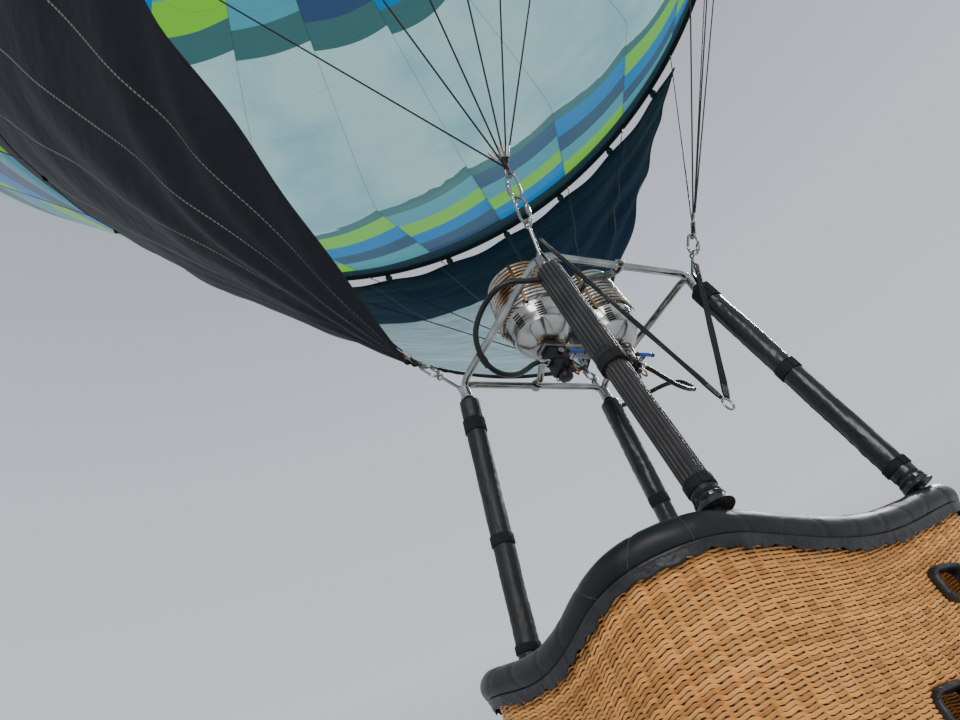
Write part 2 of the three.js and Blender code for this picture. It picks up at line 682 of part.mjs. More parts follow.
function buildCylinders() {
  const r = 132;
  const profile = [
    [0, 0],
    [r - 20, 0],
    [r, 25],
    [r, 560],
    [r - 40, 615],
    [r - 40, 690],
    [r - 46, 690],
    [r - 46, 622],
    [0, 640],
  ];
  const offset = 76; // from the centre of the wall's corner
  for (const corner of corners) {
    const bottle = turned(profile, 16);
    const x = corner.x * (BASKET_X - BASKET_CORNER + offset);
    const y = corner.y * (BASKET_Y - BASKET_CORNER + offset);
    bottle.translate(x, y, FLOOR_TOP + SEAT);
    place("fuel_cylinder_" + corner.name, outward(bottle), steel);
  }
}

// Burners: an arched bar rolls in the frame, and a plate pitches on its post.
const PLATE = { top: FRAME_Z - 78, thick: 16, halfX: 230, halfY: 34 };
const ARCH = { rise: 100, flat: 170, post: 13, postDrop: 12 };
const EAR = { x: 24, thick: 7, width: 50, above: 22 };

function buildGimbal() {
  const reach = FRAME_Y + PIVOT.length / 2;
  const inner = FRAME_Y - PIVOT.length / 2 - PIVOT.gap;
  const high = PIVOT_Z + ARCH.rise;
  const knees = [inner - 40, ARCH.flat + 45];
  const half = new THREE.CubicBezierCurve3(
    vector(0, -inner + 14, PIVOT_Z),
    vector(0, -knees[0], PIVOT_Z),
    vector(0, -knees[1], high),
    vector(0, -ARCH.flat, high),
  ).getPoints(6);
  const side = [vector(0, -inner, PIVOT_Z), ...half];
  const route = [...side, ...side.map((p) => vector(0, -p.y, p.z)).reverse()];
  const body = through(route, FRAME_TUBE, 10);
  const pins = [-1, 1].map((way) =>
    bar(vector(0, way * (inner - 8), PIVOT_Z), vector(0, way * reach, PIVOT_Z), PIVOT.pin, 16),
  );
  const post = bar(vector(0, 0, PIVOT_Z - ARCH.postDrop), vector(0, 0, high), ARCH.post, 12);
  const cross = bar(vector(-40, 0, PIVOT_Z), vector(40, 0, PIVOT_Z), 8.3, 12);
  place("gimbal_bar", cut(joined(body, post, ...pins), cross), steel);

  const earTop = PIVOT_Z + EAR.above;
  const ears = [-1, 1].map((way) => {
    const height = earTop - PLATE.top + 4;
    return block(way * EAR.x, 0, earTop - height / 2, EAR.thick, EAR.width, height);
  });
  const crossPin = bar(vector(-EAR.x - 3, 0, PIVOT_Z), vector(EAR.x + 3, 0, PIVOT_Z), 8, 12);
  const plateZ = PLATE.top - PLATE.thick / 2;
  const plate = block(0, 0, plateZ, PLATE.halfX * 2, PLATE.halfY * 2, PLATE.thick);
  place("burner_bracket", joined(plate, crossPin, ...ears), steel);
}

const VALVE = { width: 84, depth: 64, height: 140, stem: 96, reach: 95 };

function buildBurner(name, x) {
  const canBottom = PLATE.top + SEAT;
  const canTop = FRAME_Z + 75;
  const wall = 3;
  const can = turned(
    [
      [0, canBottom],
      [62, canBottom],
      [122, canBottom + 70],
      [136, canTop],
      [136 - wall, canTop],
      [122 - wall, canBottom + 70],
      [62, canBottom + wall],
      [0, canBottom + wall],
    ],
    24,
  );
  place("burner_can_" + name, outward(can.translate(x, 0, 0)), steel);

  const coilBottom = canTop + SEAT + COIL_TUBE;
  const coilTop = FRAME_Z + 295;
  class Coil extends THREE.Curve {
    getPoint(share, target = new THREE.Vector3()) {
      const angle = share * COIL_TURNS * 2 * Math.PI;
      const radius = COIL_RADIUS - 18 * share;
      const z = coilBottom + (coilTop - coilBottom) * share;
      return target.set(radius * Math.cos(angle), radius * Math.sin(angle), z);
    }
  }
  const pieces = [tube(new Coil(), COIL_TUBE, COIL_TURNS * 10, 6)];
  for (let i = 0; i < 2; i++) {
    const strap = sheet(
      (across, up, face) => {
        const radius = COIL_RADIUS - 12 - 18 * up + face * 8;
        const z = canTop + SEAT + (coilTop - canTop - SEAT) * up;
        return [radius, (across - 0.5) * 20, z];
      },
      1,
      1,
    );
    pieces.push(strap.rotateZ((i + 0.25) * Math.PI));
  }
  place("burner_coil_" + name, joined(...pieces).translate(x, 0, 0), heatedSteel);

  const blockTop = PLATE.top - PLATE.thick - SEAT;
  const stemZ = blockTop - VALVE.stem;
  const body = block(x, 0, blockTop - VALVE.height / 2, VALVE.width, VALVE.depth, VALVE.height);
  const stem = bar(vector(x, -VALVE.depth / 2, stemZ), vector(x, -VALVE.reach, stemZ), 9);
  place("valve_block_" + name, joined(body, stem), blackPaint);
  const handleY = -VALVE.reach - 9;
  const handle = bar(vector(x - 45, handleY, stemZ), vector(x + 45, handleY, stemZ), 8.5);
  place("blast_handle_" + name, outward(handle.translate(0, -SEAT, 0)), bluePlastic);
}

// Three-sided skirt outside the flying wires, hung under the hem and tied to the far corners.
const SCOOP = { from: -4, to: 197, thick: 6, across: 26, up: 5, gap: 85, billow: 70, sag: 40 };
const SCOOP_TIE = { out: 136, up: 285 };
const TAB = { width: 60, thick: 8, height: 105, first: 2.1, every: 13.36, last: 190 };

function buildScoop() {
  const left = vector(-FRAME_X - SCOOP_TIE.out, FRAME_Y + SCOOP_TIE.out, FRAME_Z + SCOOP_TIE.up);
  const right = left.clone().setX(-left.x);
  const cloth = sheet(
    (across, up, face) => {
      const angle = THREE.MathUtils.degToRad(SCOOP.from + (SCOOP.to - SCOOP.from) * across);
      const radius = MOUTH_RADIUS - 16;
      const top = vector(radius * Math.cos(angle), radius * Math.sin(angle), HEM_BOTTOM - SCOOP.gap);
      const along = THREE.MathUtils.smoothstep(across, 0.24, 0.72);
      const low = right.clone().lerp(left, along);
      low.y += SCOOP.sag * Math.sin(Math.PI * along);
      low.z -= SCOOP.sag * Math.sin(Math.PI * along);
      const p = low.lerp(top, up);
      const billow = SCOOP.billow * Math.sin(Math.PI * up) * (0.4 + 0.6 * Math.sin(Math.PI * across));
      const out = billow + face * SCOOP.thick;
      return [p.x + out * Math.cos(angle), p.y + out * Math.sin(angle), p.z];
    },
    SCOOP.across,
    SCOOP.up,
  );
  const pieces = [cloth];
  for (let angle = TAB.first; angle <= TAB.last; angle += TAB.every) {
    const z = HEM_BOTTOM - SEAT - TAB.height / 2;
    const tab = block(MOUTH_RADIUS - 14, 0, z, TAB.thick, TAB.width, TAB.height);
    pieces.push(tab.rotateZ(THREE.MathUtils.degToRad(angle)));
  }
  place("scoop", joined(...pieces), navyFabric);
}

buildEnvelope();
buildHem();
buildVent();
buildCrown();
buildRigging();
buildBridle();
buildScoop();
buildLoadFrame();
buildUprights();
buildHoses();
buildBasket();
buildCylinders();
buildGimbal();
buildBurner("left", -BURNER_X);
buildBurner("right", BURNER_X);

export default balloon;
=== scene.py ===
"""Looks of a hot air balloon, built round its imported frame. Metres, +Z up."""
import logging
import math
import random
from dataclasses import dataclass
from enum import Enum
from typing import Callable, Sequence

import bmesh
import bpy
from mathutils import Matrix, Vector, noise


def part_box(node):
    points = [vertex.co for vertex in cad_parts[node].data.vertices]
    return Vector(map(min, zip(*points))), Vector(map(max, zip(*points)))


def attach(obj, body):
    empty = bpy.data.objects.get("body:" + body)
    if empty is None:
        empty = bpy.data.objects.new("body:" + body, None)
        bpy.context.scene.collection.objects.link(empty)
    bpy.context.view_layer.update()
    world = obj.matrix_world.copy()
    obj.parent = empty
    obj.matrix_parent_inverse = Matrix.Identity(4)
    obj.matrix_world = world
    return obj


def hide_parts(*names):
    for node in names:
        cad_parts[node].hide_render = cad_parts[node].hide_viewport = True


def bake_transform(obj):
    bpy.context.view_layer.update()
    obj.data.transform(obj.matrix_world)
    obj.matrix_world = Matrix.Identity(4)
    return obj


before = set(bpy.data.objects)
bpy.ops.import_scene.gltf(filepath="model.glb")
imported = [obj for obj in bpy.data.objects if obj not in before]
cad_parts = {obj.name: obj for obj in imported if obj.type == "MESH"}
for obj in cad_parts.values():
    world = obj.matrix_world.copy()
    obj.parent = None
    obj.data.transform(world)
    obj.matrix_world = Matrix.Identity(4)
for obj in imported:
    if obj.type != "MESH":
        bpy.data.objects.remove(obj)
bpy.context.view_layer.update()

LOG = logging.getLogger("balloon")
Colour = tuple[float, float, float]
Point = tuple[float, float, float]
TURN = 2 * math.pi

# Places and sizes that the solids also have
GORES = 23
FIRST_SEAM = math.radians(10.5)
MOUTH_Z = -9.3
MOUTH_RADIUS = 2.65
BASE_BAND_Z = -8.9
HEM_BOTTOM = -9.3403
RIM_Z = -13.74
FRAME_Z = -12.64
PIVOT_Z = -12.602
FLOOR_TOP = -14.76
SKID_BOTTOM = -14.8183
FRAME_X = 0.378
FRAME_Y = 0.351
UPRIGHT_ROD = 0.014
PLATE_TOP = FRAME_Z - 0.078
PLATE_THICK = 0.016
SEAT = 0.0003


class Corner(Enum):
    """Corners of the burner frame, with the way to each from the middle."""

    NEAR_LEFT = ("near_left", -1, -1)
    NEAR_RIGHT = ("near_right", 1, -1)
    FAR_RIGHT = ("far_right", 1, 1)
    FAR_LEFT = ("far_left", -1, 1)

    @property
    def label(self) -> str:
        """Name of the corner in a piece's name."""
        return self.value[0]

    @property
    def x(self) -> int:
        """Side of the frame that the corner is on, along X."""
        return self.value[1]

    @property
    def y(self) -> int:
        """Side of the frame that the corner is on, along Y."""
        return self.value[2]

    @property
    def foot(self) -> Vector:
        """Middle of the corner clamp."""
        return Vector((self.x * FRAME_X, self.y * FRAME_Y, FRAME_Z))


class Body(Enum):
    """Bodies that pieces ride on."""

    BALLOON = "balloon"
    VENT = "vent"
    GIMBAL = "gimbal"
    BURNERS = "burners"


class Ends(Enum):
    """How a swept tube ends."""

    CAPPED = "capped"
    OPEN = "open"
    JOINED = "joined"


class Grain(Enum):
    """Small relief of a finish."""

    SMOOTH = "smooth"
    CLOTH = "cloth"
    CREASED = "creased"
    LEATHER = "leather"
    BRUSHED = "brushed"
    WEBBING = "webbing"
    WOOD = "wood"


# Shader nodes


class Wire:
    """A node's output, on which sums are written as in Python."""

    def __init__(self, graph: "Graph", socket: bpy.types.NodeSocket) -> None:
        """Keeps the socket and the graph that it belongs to."""
        self.graph = graph
        self.socket = socket

    def __add__(self, other: "Wire | float") -> "Wire":
        """Sum."""
        return self.graph.maths("ADD", self, other)

    def __sub__(self, other: "Wire | float") -> "Wire":
        """Difference."""
        return self.graph.maths("SUBTRACT", self, other)

    def __rsub__(self, other: float) -> "Wire":
        """Difference from a number."""
        return self.graph.maths("SUBTRACT", other, self)

    def __mul__(self, other: "Wire | float") -> "Wire":
        """Product."""
        return self.graph.maths("MULTIPLY", self, other)

    def __truediv__(self, other: "Wire | float") -> "Wire":
        """Quotient."""
        return self.graph.maths("DIVIDE", self, other)

    def __gt__(self, other: "Wire | float") -> "Wire":
        """One where this is greater, else nought."""
        return self.graph.maths("GREATER_THAN", self, other)

    def __lt__(self, other: "Wire | float") -> "Wire":
        """One where this is less, else nought."""
        return self.graph.maths("LESS_THAN", self, other)

    __radd__ = __add__
    __rmul__ = __mul__


class Graph:
    """The nodes of one material."""

    def __init__(self, name: str) -> None:
        """Starts an empty material.

        Args:
            name: its name.
        """
        self.material = bpy.data.materials.new(name)
        self.material.use_nodes = True
        self.tree = self.material.node_tree
        self.tree.nodes.clear()

    def node(
        self,
        kind: str,
        settings: dict | None = None,
        sockets: dict | None = None,
        output: int | str = 0,
    ) -> Wire:
        """Adds a node.

        Args:
            kind: the node's type.
            settings: its own settings, with a ramp's stops under "stops".
            sockets: values or wires for its inputs, by name or number.
            output: the output that is wanted.

        Returns:
            That output.
        """
        made = self.tree.nodes.new(kind)
        for key, value in (settings or {}).items():
            if key == "stops":
                self.set_stops(made.color_ramp, value)
            elif key == "interpolation":
                made.color_ramp.interpolation = value
            else:
                setattr(made, key, value)
        for key, value in (sockets or {}).items():
            if isinstance(value, Wire):
                self.tree.links.new(value.socket, made.inputs[key])
            else:
                made.inputs[key].default_value = value
        return Wire(self, made.outputs[output]) if made.outputs else Wire(self, None)

    @staticmethod
    def set_stops(ramp: bpy.types.ColorRamp, stops: Sequence) -> None:
        """Gives a ramp its stops, each a place and a colour.

        Args:
            ramp: the ramp.
            stops: its stops.
        """
        while len(ramp.elements) < len(stops):
            ramp.elements.new(1.0)
        for element, (place, colour) in zip(ramp.elements, stops):
            element.position = place
            element.color = (*colour, 1)

    def maths(self, operation: str, *values: "Wire | float") -> Wire:
        """A Math node."""
        return self.node("ShaderNodeMath", {"operation": operation}, dict(enumerate(values)))

    def vector(self, operation: str, *values: "Wire | Point") -> Wire:
        """A Vector Math node; a length comes from its other output.

        Args:
            operation: what it does.
            values: its inputs.

        Returns:
            The result.
        """
        output = "Value" if operation == "LENGTH" else 0
        sockets = dict(enumerate(values))
        return self.node("ShaderNodeVectorMath", {"operation": operation}, sockets, output)

    def mix(self, factor: "Wire | float", low: "Wire | Colour", high: "Wire | Colour") -> Wire:
        """Colour between two others.

        Args:
            factor: share of the second.
            low: the first.
            high: the second.

        Returns:
            The colour.
        """
        ends = [end if isinstance(end, Wire) else (*end, 1) for end in (low, high)]
        sockets = {0: factor, 6: ends[0], 7: ends[1]}
        return self.node("ShaderNodeMix", {"data_type": "RGBA"}, sockets, 2)

    def place(self) -> Wire:
        """Object coordinates."""
        return self.node("ShaderNodeTexCoord", output="Object")

    def noise(self, place: Wire, scale: float, detail: float = 3.0, stretch: Point = (1, 1, 1)) -> Wire:
        """Noise from 0 to 1, its coordinates stretched first.

        Args:
            place: the coordinates.
            scale: how fine it is.
            detail: how many finer layers it has.
            stretch: factor on each axis.

        Returns:
            The noise.
        """
        at = self.vector("MULTIPLY", place, stretch)
        sockets = {"Vector": at, "Scale": scale, "Detail": detail}
        return self.node("ShaderNodeTexNoise", {}, sockets)

    def clamped(self, value: Wire, low: float, high: float) -> Wire:
        """Share of the way from low to high, kept from 0 to 1."""
        sockets = {"Value": value, "From Min": low, "From Max": high}
        return self.node("ShaderNodeMapRange", {"clamp": True}, sockets)

    def surface(
        self,
        colour: "Wire | Colour",
        roughness: "Wire | float",
        metallic: float = 0.0,
        relief: Wire | None = None,
        depth: float = 0.001,
        glow: float = 0.0,
        constants: dict | None = None,
    ) -> bpy.types.Material:
        """Ends the material in one Principled shader.

        Args:
            colour: base colour.
            roughness: roughness.
            metallic: metallic share.
            relief: height from 0 to 1 for the bump.
            depth: metres that the height stands for.
            glow: strength of an emission in the cloth's own colour, painted light for the sun shining
                through the cloth.
            constants: other sockets of the shader and their values.

        Returns:
            The material.
        """
        sockets = dict(constants or {})
        sockets["Base Color"] = colour if isinstance(colour, Wire) else (*colour, 1)
        sockets["Roughness"] = roughness
        sockets["Metallic"] = metallic
        # An emission in the base colour: painted light, not a lamp.
        if glow:
            sockets["Emission Color"] = sockets["Base Color"]
            sockets["Emission Strength"] = glow
        if relief is not None:
            heights = {"Strength": 1.0, "Distance": depth, "Height": relief}
            sockets["Normal"] = self.node("ShaderNodeBump", {}, heights)
        shader = self.node("ShaderNodeBsdfPrincipled", {}, sockets)
        self.node("ShaderNodeOutputMaterial", {}, {"Surface": shader})
        return self.material


# Finishes

MADE: dict[str, bpy.types.Material] = {}


@dataclass(frozen=True)
class Finish:
    """A finish that one or more pieces have."""

    name: str

    def made(self) -> bpy.types.Material:
        """The material, painted at its first use.

        Returns:
            The material.
        """
        if self.name not in MADE:
            MADE[self.name] = self.paint(Graph(self.name))
        return MADE[self.name]

    def paint(self, graph: Graph) -> bpy.types.Material:
        """Paints the material."""
        raise NotImplementedError


@dataclass(frozen=True)
class Plain(Finish):
    """A finish with patches of two colours and a small relief."""

    colour: Colour
    second: Colour
    roughness: float = 0.5
    metallic: float = 0.0
    grain: Grain = Grain.SMOOTH
    scale: float = 300.0
    depth: float = 0.0003
    patch: float = 12.0
    unevenness: float = 0.25
    specular: float = 0.5

    def paint(self, graph: Graph) -> bpy.types.Material:
        """Paints patches between the two colours and the relief.

        Args:
            graph: the material's nodes.

        Returns:
            The material.
        """
        place = graph.place()
        patches = graph.noise(place, self.patch, 5.0)
        share = graph.clamped(patches, 0.35, 0.68)
        colour = graph.mix(share, self.colour, self.second)
        rough = patches * self.unevenness + (self.roughness - self.unevenness / 2)
        constants = {"Specular IOR Level": self.specular}
        relief = self.relief(graph, place)
        return graph.surface(colour, rough, self.metallic, relief, self.depth, constants=constants)

    def relief(self, graph: Graph, place: Wire) -> Wire:
        """Height of the small relief.

        Args:
            graph: the material's nodes.
            place: object coordinates.

        Returns:
            The height, from about 0 to 1.
        """
        if self.grain is Grain.LEATHER:
            sockets = {"Vector": place, "Scale": self.scale}
            cells = graph.node("ShaderNodeTexVoronoi", {}, sockets)
            folds = graph.noise(place, self.scale * 0.08, 4.0)
            return cells * 0.35 + folds * 1.3
        if self.grain is Grain.CLOTH:
            fine = graph.noise(place, self.scale, 2.0)
            folds = graph.noise(place, 3.0, 3.0, (1, 1, 2.5))
            return fine * 0.08 + folds
        if self.grain is Grain.CREASED:
            folds = graph.noise(place, 14.0, 5.0)
            ridge = graph.maths("ABSOLUTE", folds - 0.5) * 2
            return ridge + graph.noise(place, self.scale, 2.0) * 0.1
        if self.grain is Grain.BRUSHED:
            return graph.noise(place, self.scale, 3.0, (1, 1, 0.04))
        if self.grain is Grain.WOOD:
            return graph.noise(place, self.scale, 5.0, (0.06, 1, 1))
        if self.grain is Grain.WEBBING:
            across = graph.node("ShaderNodeTexWave", {}, {"Vector": place, "Scale": self.scale})
            return across + graph.noise(place, self.scale * 4, 2.0) * 0.3
        return graph.noise(place, self.scale, 2.0)


@dataclass(frozen=True)
class PanelCloth(Finish):
    """Coated cloth: a pale field between staggered bands of like colours, in wavy steps at each seam."""

    # Emission strength: painted light for the sun shining through the cloth.
    glow: float
    teal: Colour = (0.08, 0.29, 0.37)
    lime: Colour = (0.2, 0.52, 0.025)
    blue: Colour = (0.005, 0.17, 0.47)
    slate: Colour = (0.035, 0.06, 0.14)
    navy: Colour = (0.004, 0.018, 0.045)
    border: Colour = (0.05, 0.125, 0.13)
    field: Colour = (0.43, 0.58, 0.59)
    field_shade: Colour = (0.27, 0.46, 0.52)
    edges: tuple[float, ...] = (0.42, 1.15, 1.95, 3.15, 5.1, 6.4)
    top_edges: tuple[float, ...] = (0.55, 1.15, 1.75, 2.25)
    top_z: float = 3.4

    def paint(self, graph: Graph) -> bpy.types.Material:
        """Paints the bands by height and gore, then seams, puckers, and the painted light that stands for
        the sun coming through.

        Args:
            graph: the material's nodes.

        Returns:
            The material.
        """
        place = graph.place()
        x, y, z = (graph.node("ShaderNodeSeparateXYZ", {}, {0: place}, i) for i in range(3))
        angle = graph.maths("ARCTAN2", y, x)
        turn = (angle - FIRST_SEAM) * (GORES / TURN) + 2 * GORES
        gore = graph.maths("FLOOR", turn)
        share = turn - gore
        lobe = graph.maths("COSINE", (angle - math.radians(47)) * 3) * 0.33 + 0.82
        ragged = graph.noise(place, 1.1, 3.0) - 0.5
        slant = (share - 0.5) * 0.22
        height = (z - MOUTH_Z) / lobe + slant * graph.clamped(z - MOUTH_Z, 0.3, 1.5)
        rough_edge = height + ragged * 1.3
        low = self.steps(graph, height, gore, self.edges[1:4])
        colour = graph.mix(height < self.edges[0], low, self.navy)
        colour = graph.mix(height > self.edges[4], colour, self.border)
        mottled = graph.clamped(graph.noise(place, 0.35, 3.0), 0.45, 0.62)
        field = graph.mix(mottled, self.field, self.field_shade)
        colour = graph.mix(rough_edge > self.edges[5], colour, field)
        top = (z - self.top_z) + graph.maths("SINE", angle * 4) * 0.35 + slant
        upper = self.steps(graph, top, gore, self.top_edges[1:])
        colour = graph.mix(top > 0.0, colour, self.border)
        colour = graph.mix(top > self.top_edges[0], colour, upper)
        radius = graph.vector("LENGTH", graph.vector("MULTIPLY", place, (1, 1, 0)))
        away = (0.5 - graph.maths("ABSOLUTE", share - 0.5)) * radius * (TURN / GORES)
        panel = z / 0.92 + graph.maths("SINE", share * math.pi) * 0.12
        line = graph.maths("FRACT", panel + 40)
        sewn = graph.maths("MAXIMUM", away < 0.014, (line < 0.016) * 0.45)
        colour = graph.mix(sewn * 0.3, colour, self.navy)
        near = 1 - graph.clamped(away, 0.0, 0.35)
        folds = graph.noise(place, 2.2, 3.0, (1, 1, 5)) * (near * 0.8 + 0.35)
        return graph.surface(colour, 0.55, 0.0, folds, 0.05, self.glow, {"Sheen Weight": 0.15})

    def steps(self, graph: Graph, height: Wire, gore: Wire, edges: Sequence[float]) -> Wire:
        """Colour of the bands, one step on at each gore.

        Args:
            graph: the material's nodes.
            height: height above the edge.
            gore: number of the gore.
            edges: heights at which the next band starts.

        Returns:
            The colour.
        """
        band = 3.0
        for edge in edges:
            band = band - (height > edge)
        place = graph.maths("FRACT", (band + gore) * 0.25 + 0.125)
        shades = (self.teal, self.lime, self.blue, self.slate)
        stops = [(i / 4, shade) for i, shade in enumerate(shades)]
        settings = {"interpolation": "CONSTANT", "stops": stops}
        return graph.node("ShaderNodeValToRGB", settings, {0: place})


@dataclass(frozen=True)
class Skirting(Finish):
    """Heat-proof cloth of the skirt: navy above, a pale panel below with a black hem."""

    navy: Colour = (0.0025, 0.008, 0.036)
    deep: Colour = (0.002, 0.0055, 0.02)
    charcoal: Colour = (0.006, 0.0075, 0.011)
    pale: Colour = (0.26, 0.36, 0.39)
    light: Colour = (0.42, 0.53, 0.57)
    thread: Colour = (0.2, 0.2, 0.18)
    outside: bool = False

    def paint(self, graph: Graph) -> bpy.types.Material:
        """Paints by the share of the way round and up that the cloth's own map holds.

        Args:
            graph: the material's nodes.

        Returns:
            The material.
        """
        place = graph.place()
        at = graph.node("ShaderNodeUVMap", {"uv_map": "cloth"})
        across, up = (graph.node("ShaderNodeSeparateXYZ", {}, {0: at}, i) for i in range(2))
        patches = graph.noise(place, 1.4, 4.0)
        dark = graph.mix(graph.clamped(patches, 0.4, 0.7), self.navy, self.deep)
        middle = graph.maths("ABSOLUTE", across - 0.47)
        panel = (middle < (0.13 if self.outside else 0.235)) * (up - middle * middle * 2.5 < 0.5)
        streaks = graph.noise(place, 3.0, 4.0, (1, 1, 9))
        light = graph.mix(graph.clamped(streaks, 0.35, 0.7), self.pale, self.light)
        colour = graph.mix(panel, self.charcoal if self.outside else dark, light)
        colour = graph.mix(up < 0.012, colour, self.charcoal)
        seam = graph.maths("ABSOLUTE", graph.maths("FRACT", across * 13 + 0.5) - 0.5)
        stitch = graph.maths("FRACT", up * 160) < 0.72
        sewn = (seam < 0.012) * stitch
        colour = graph.mix(sewn * (0.8 if self.outside else 0.35), colour, self.thread)
        fine = graph.noise(place, 90.0, 2.0)
        folds = graph.noise(place, 2.0, 3.0, (1, 1, 2)) + fine * 0.03
        return graph.surface(colour, 0.62, 0.0, folds, 0.03, constants={"Specular IOR Level": 0.22})


@dataclass(frozen=True)
class Willow(Finish):
    """Split willow, each strand a little different, with fibres along it."""

    pale: Colour = (0.9, 0.43, 0.118)
    deep: Colour = (0.31, 0.118, 0.026)

    def paint(self, graph: Graph) -> bpy.types.Material:
        """Paints fibres, and a shade for each rod by its row and its place round the wall.

        Args:
            graph: the material's nodes.

        Returns:
            The material.
        """
        place = graph.place()
        at = graph.node("ShaderNodeUVMap", {"uv_map": "cloth"})
        along_wall, row = (graph.node("ShaderNodeSeparateXYZ", {}, {0: at}, i) for i in range(2))
        row = graph.maths("FLOOR", row)
        number = graph.maths("FLOOR", along_wall * 1.4 + row * 0.618)
        both = graph.node("ShaderNodeCombineXYZ", {}, {0: number, 1: row})
        strand = graph.node("ShaderNodeTexWhiteNoise", {"noise_dimensions": "2D"}, {"Vector": both})
        fibres = graph.noise(place, 60.0, 4.0, (1, 1, 6))
        stain = graph.noise(place, 9.0, 4.0)
        share = graph.clamped(strand * 0.42 + fibres * 0.5 + stain * 0.4, 0.35, 1.05)
        colour = graph.mix(share, self.pale, self.deep)
        relief = graph.noise(place, 160.0, 3.0, (1, 1, 4))
        constants = {"Coat Weight": 0.15, "Coat Roughness": 0.35}
        return graph.surface(colour, 0.5 + fibres * 0.2, 0.0, relief, 0.0006, constants=constants)


@dataclass(frozen=True)
class TintedCoil(Finish):
    """Stainless tube with gold, rust and brown heat tints round and up the coil."""

    steel: Colour = (0.5, 0.48, 0.44)
    gold: Colour = (0.34, 0.22, 0.12)
    rust: Colour = (0.09, 0.045, 0.028)

    def paint(self, graph: Graph) -> bpy.types.Material:
        """Paints the tints as slow patches with a soot veil.

        Args:
            graph: the material's nodes.

        Returns:
            The material.
        """
        place = graph.place()
        slow = graph.noise(place, 7.0, 3.0, (1, 1, 1.6))
        colour = graph.mix(graph.clamped(slow, 0.4, 0.56), self.steel, self.gold)
        colour = graph.mix(graph.clamped(slow, 0.55, 0.68), colour, self.rust)
        soot = graph.noise(place, 45.0, 4.0)
        colour = graph.mix(graph.clamped(soot, 0.52, 0.8) * 0.6, colour, (0.05, 0.04, 0.035))
        return graph.surface(colour, soot * 0.35 + 0.12, 0.9, soot, 0.0004)


# The two sides differ only in their painted glow: strong inside, faint outside.
INSIDE_CLOTH = PanelCloth("inside_cloth", 0.62)
OUTSIDE_CLOTH = PanelCloth("outside_cloth", 0.1)
BAND_INSIDE = Plain(
    "band_inside", (0.003, 0.012, 0.036), (0.005, 0.018, 0.05), 0.6, grain=Grain.CLOTH, depth=0.02,
    patch=2.0, specular=0.25,
)
BAND_OUTSIDE = Plain(
    "band_outside", (0.009, 0.01, 0.013), (0.014, 0.016, 0.02), 0.65, grain=Grain.CLOTH, depth=0.02,
    patch=2.0, specular=0.25,
)
VENT_CLOTH = Plain(
    "vent_cloth", (0.01, 0.028, 0.055), (0.018, 0.045, 0.08), 0.55, grain=Grain.CLOTH, depth=0.03, patch=1.0
)
SKIRT_INSIDE = Skirting("skirt_inside")
SKIRT_OUTSIDE = Skirting("skirt_outside", outside=True)
WEB = Plain(
    "black_web", (0.006, 0.006, 0.007), (0.014, 0.014, 0.015), 0.75, grain=Grain.WEBBING, scale=160.0,
    specular=0.2,
)
TAPE = Plain("load_tape", (0.02, 0.035, 0.05), (0.035, 0.055, 0.075), 0.7, grain=Grain.WEBBING, scale=90.0)
BRIGHT_STEEL = Plain(
    "bright_steel", (0.38, 0.38, 0.365), (0.21, 0.21, 0.2), 0.14, 1.0, Grain.BRUSHED, 500.0, 0.00004, 12.0,
    unevenness=0.12,
)
DULL_STEEL = Plain(
    "dull_steel", (0.32, 0.31, 0.3), (0.14, 0.135, 0.13), 0.35, 1.0, Grain.BRUSHED, 300.0, 0.0001, 16.0
)
CAN_STEEL = Plain(
    "can_steel", (0.46, 0.45, 0.43), (0.2, 0.19, 0.17), 0.2, 1.0, Grain.BRUSHED, 200.0, 0.00008, 6.0,
    unevenness=0.2,
)
COATED_PAD = Plain(
    "coated_pad", (0.004, 0.004, 0.005), (0.009, 0.009, 0.01), 0.3, grain=Grain.CREASED, scale=260.0,
    depth=0.0007, patch=5.0, unevenness=0.15, specular=0.4,
)
SOFT_PAD = Plain(
    "soft_pad", (0.007, 0.007, 0.007), (0.016, 0.016, 0.016), 0.5, grain=Grain.CREASED, scale=400.0,
    depth=0.0008, specular=0.3,
)
RIM_LEATHER = Plain(
    "rim_leather", (0.004, 0.004, 0.005), (0.012, 0.012, 0.014), 0.44, grain=Grain.LEATHER, scale=420.0,
    depth=0.0006, patch=7.0, unevenness=0.3, specular=0.32,
)
SEAM_LEATHER = Plain(
    "seam_leather", (0.02, 0.021, 0.023), (0.05, 0.05, 0.053), 0.5, scale=500.0, specular=0.3
)
FLAP_LEATHER = Plain(
    "flap_leather", (0.005, 0.005, 0.006), (0.02, 0.02, 0.021), 0.42, grain=Grain.CREASED, scale=300.0,
    depth=0.005, patch=16.0, specular=0.4,
)
FOOTHOLD_LEATHER = Plain(
    "foothold_leather", (0.006, 0.006, 0.007), (0.017, 0.016, 0.016), 0.42, grain=Grain.LEATHER, scale=420.0,
    depth=0.0008, specular=0.4,
)
BASE_LEATHER = Plain(
    "base_leather", (0.014, 0.01, 0.008), (0.035, 0.022, 0.015), 0.5, grain=Grain.LEATHER, scale=380.0,
    depth=0.0015, patch=6.0, specular=0.3,
)
WIRE_SLEEVE = Plain(
    "wire_sleeve", (0.008, 0.005, 0.004), (0.02, 0.013, 0.01), 0.6, scale=500.0, depth=0.0002, specular=0.2
)
FERRULE = Plain("ferrule", (0.4, 0.37, 0.33), (0.25, 0.22, 0.19), 0.4, 0.8, scale=300.0, depth=0.0002)
HOSE_RUBBER = Plain(
    "hose_rubber", (0.006, 0.006, 0.006), (0.012, 0.012, 0.012), 0.4, scale=220.0, specular=0.35
)
ROD_NYLON = Plain("rod_nylon", (0.01, 0.01, 0.01), (0.02, 0.02, 0.02), 0.4, specular=0.3)
VALVE_BLACK = Plain(
    "valve_black", (0.006, 0.006, 0.007), (0.015, 0.015, 0.016), 0.38, 0.2, scale=200.0, specular=0.35
)
HANDLE_BLUE = Plain("handle_blue", (0.008, 0.05, 0.28), (0.012, 0.07, 0.36), 0.38, scale=200.0)
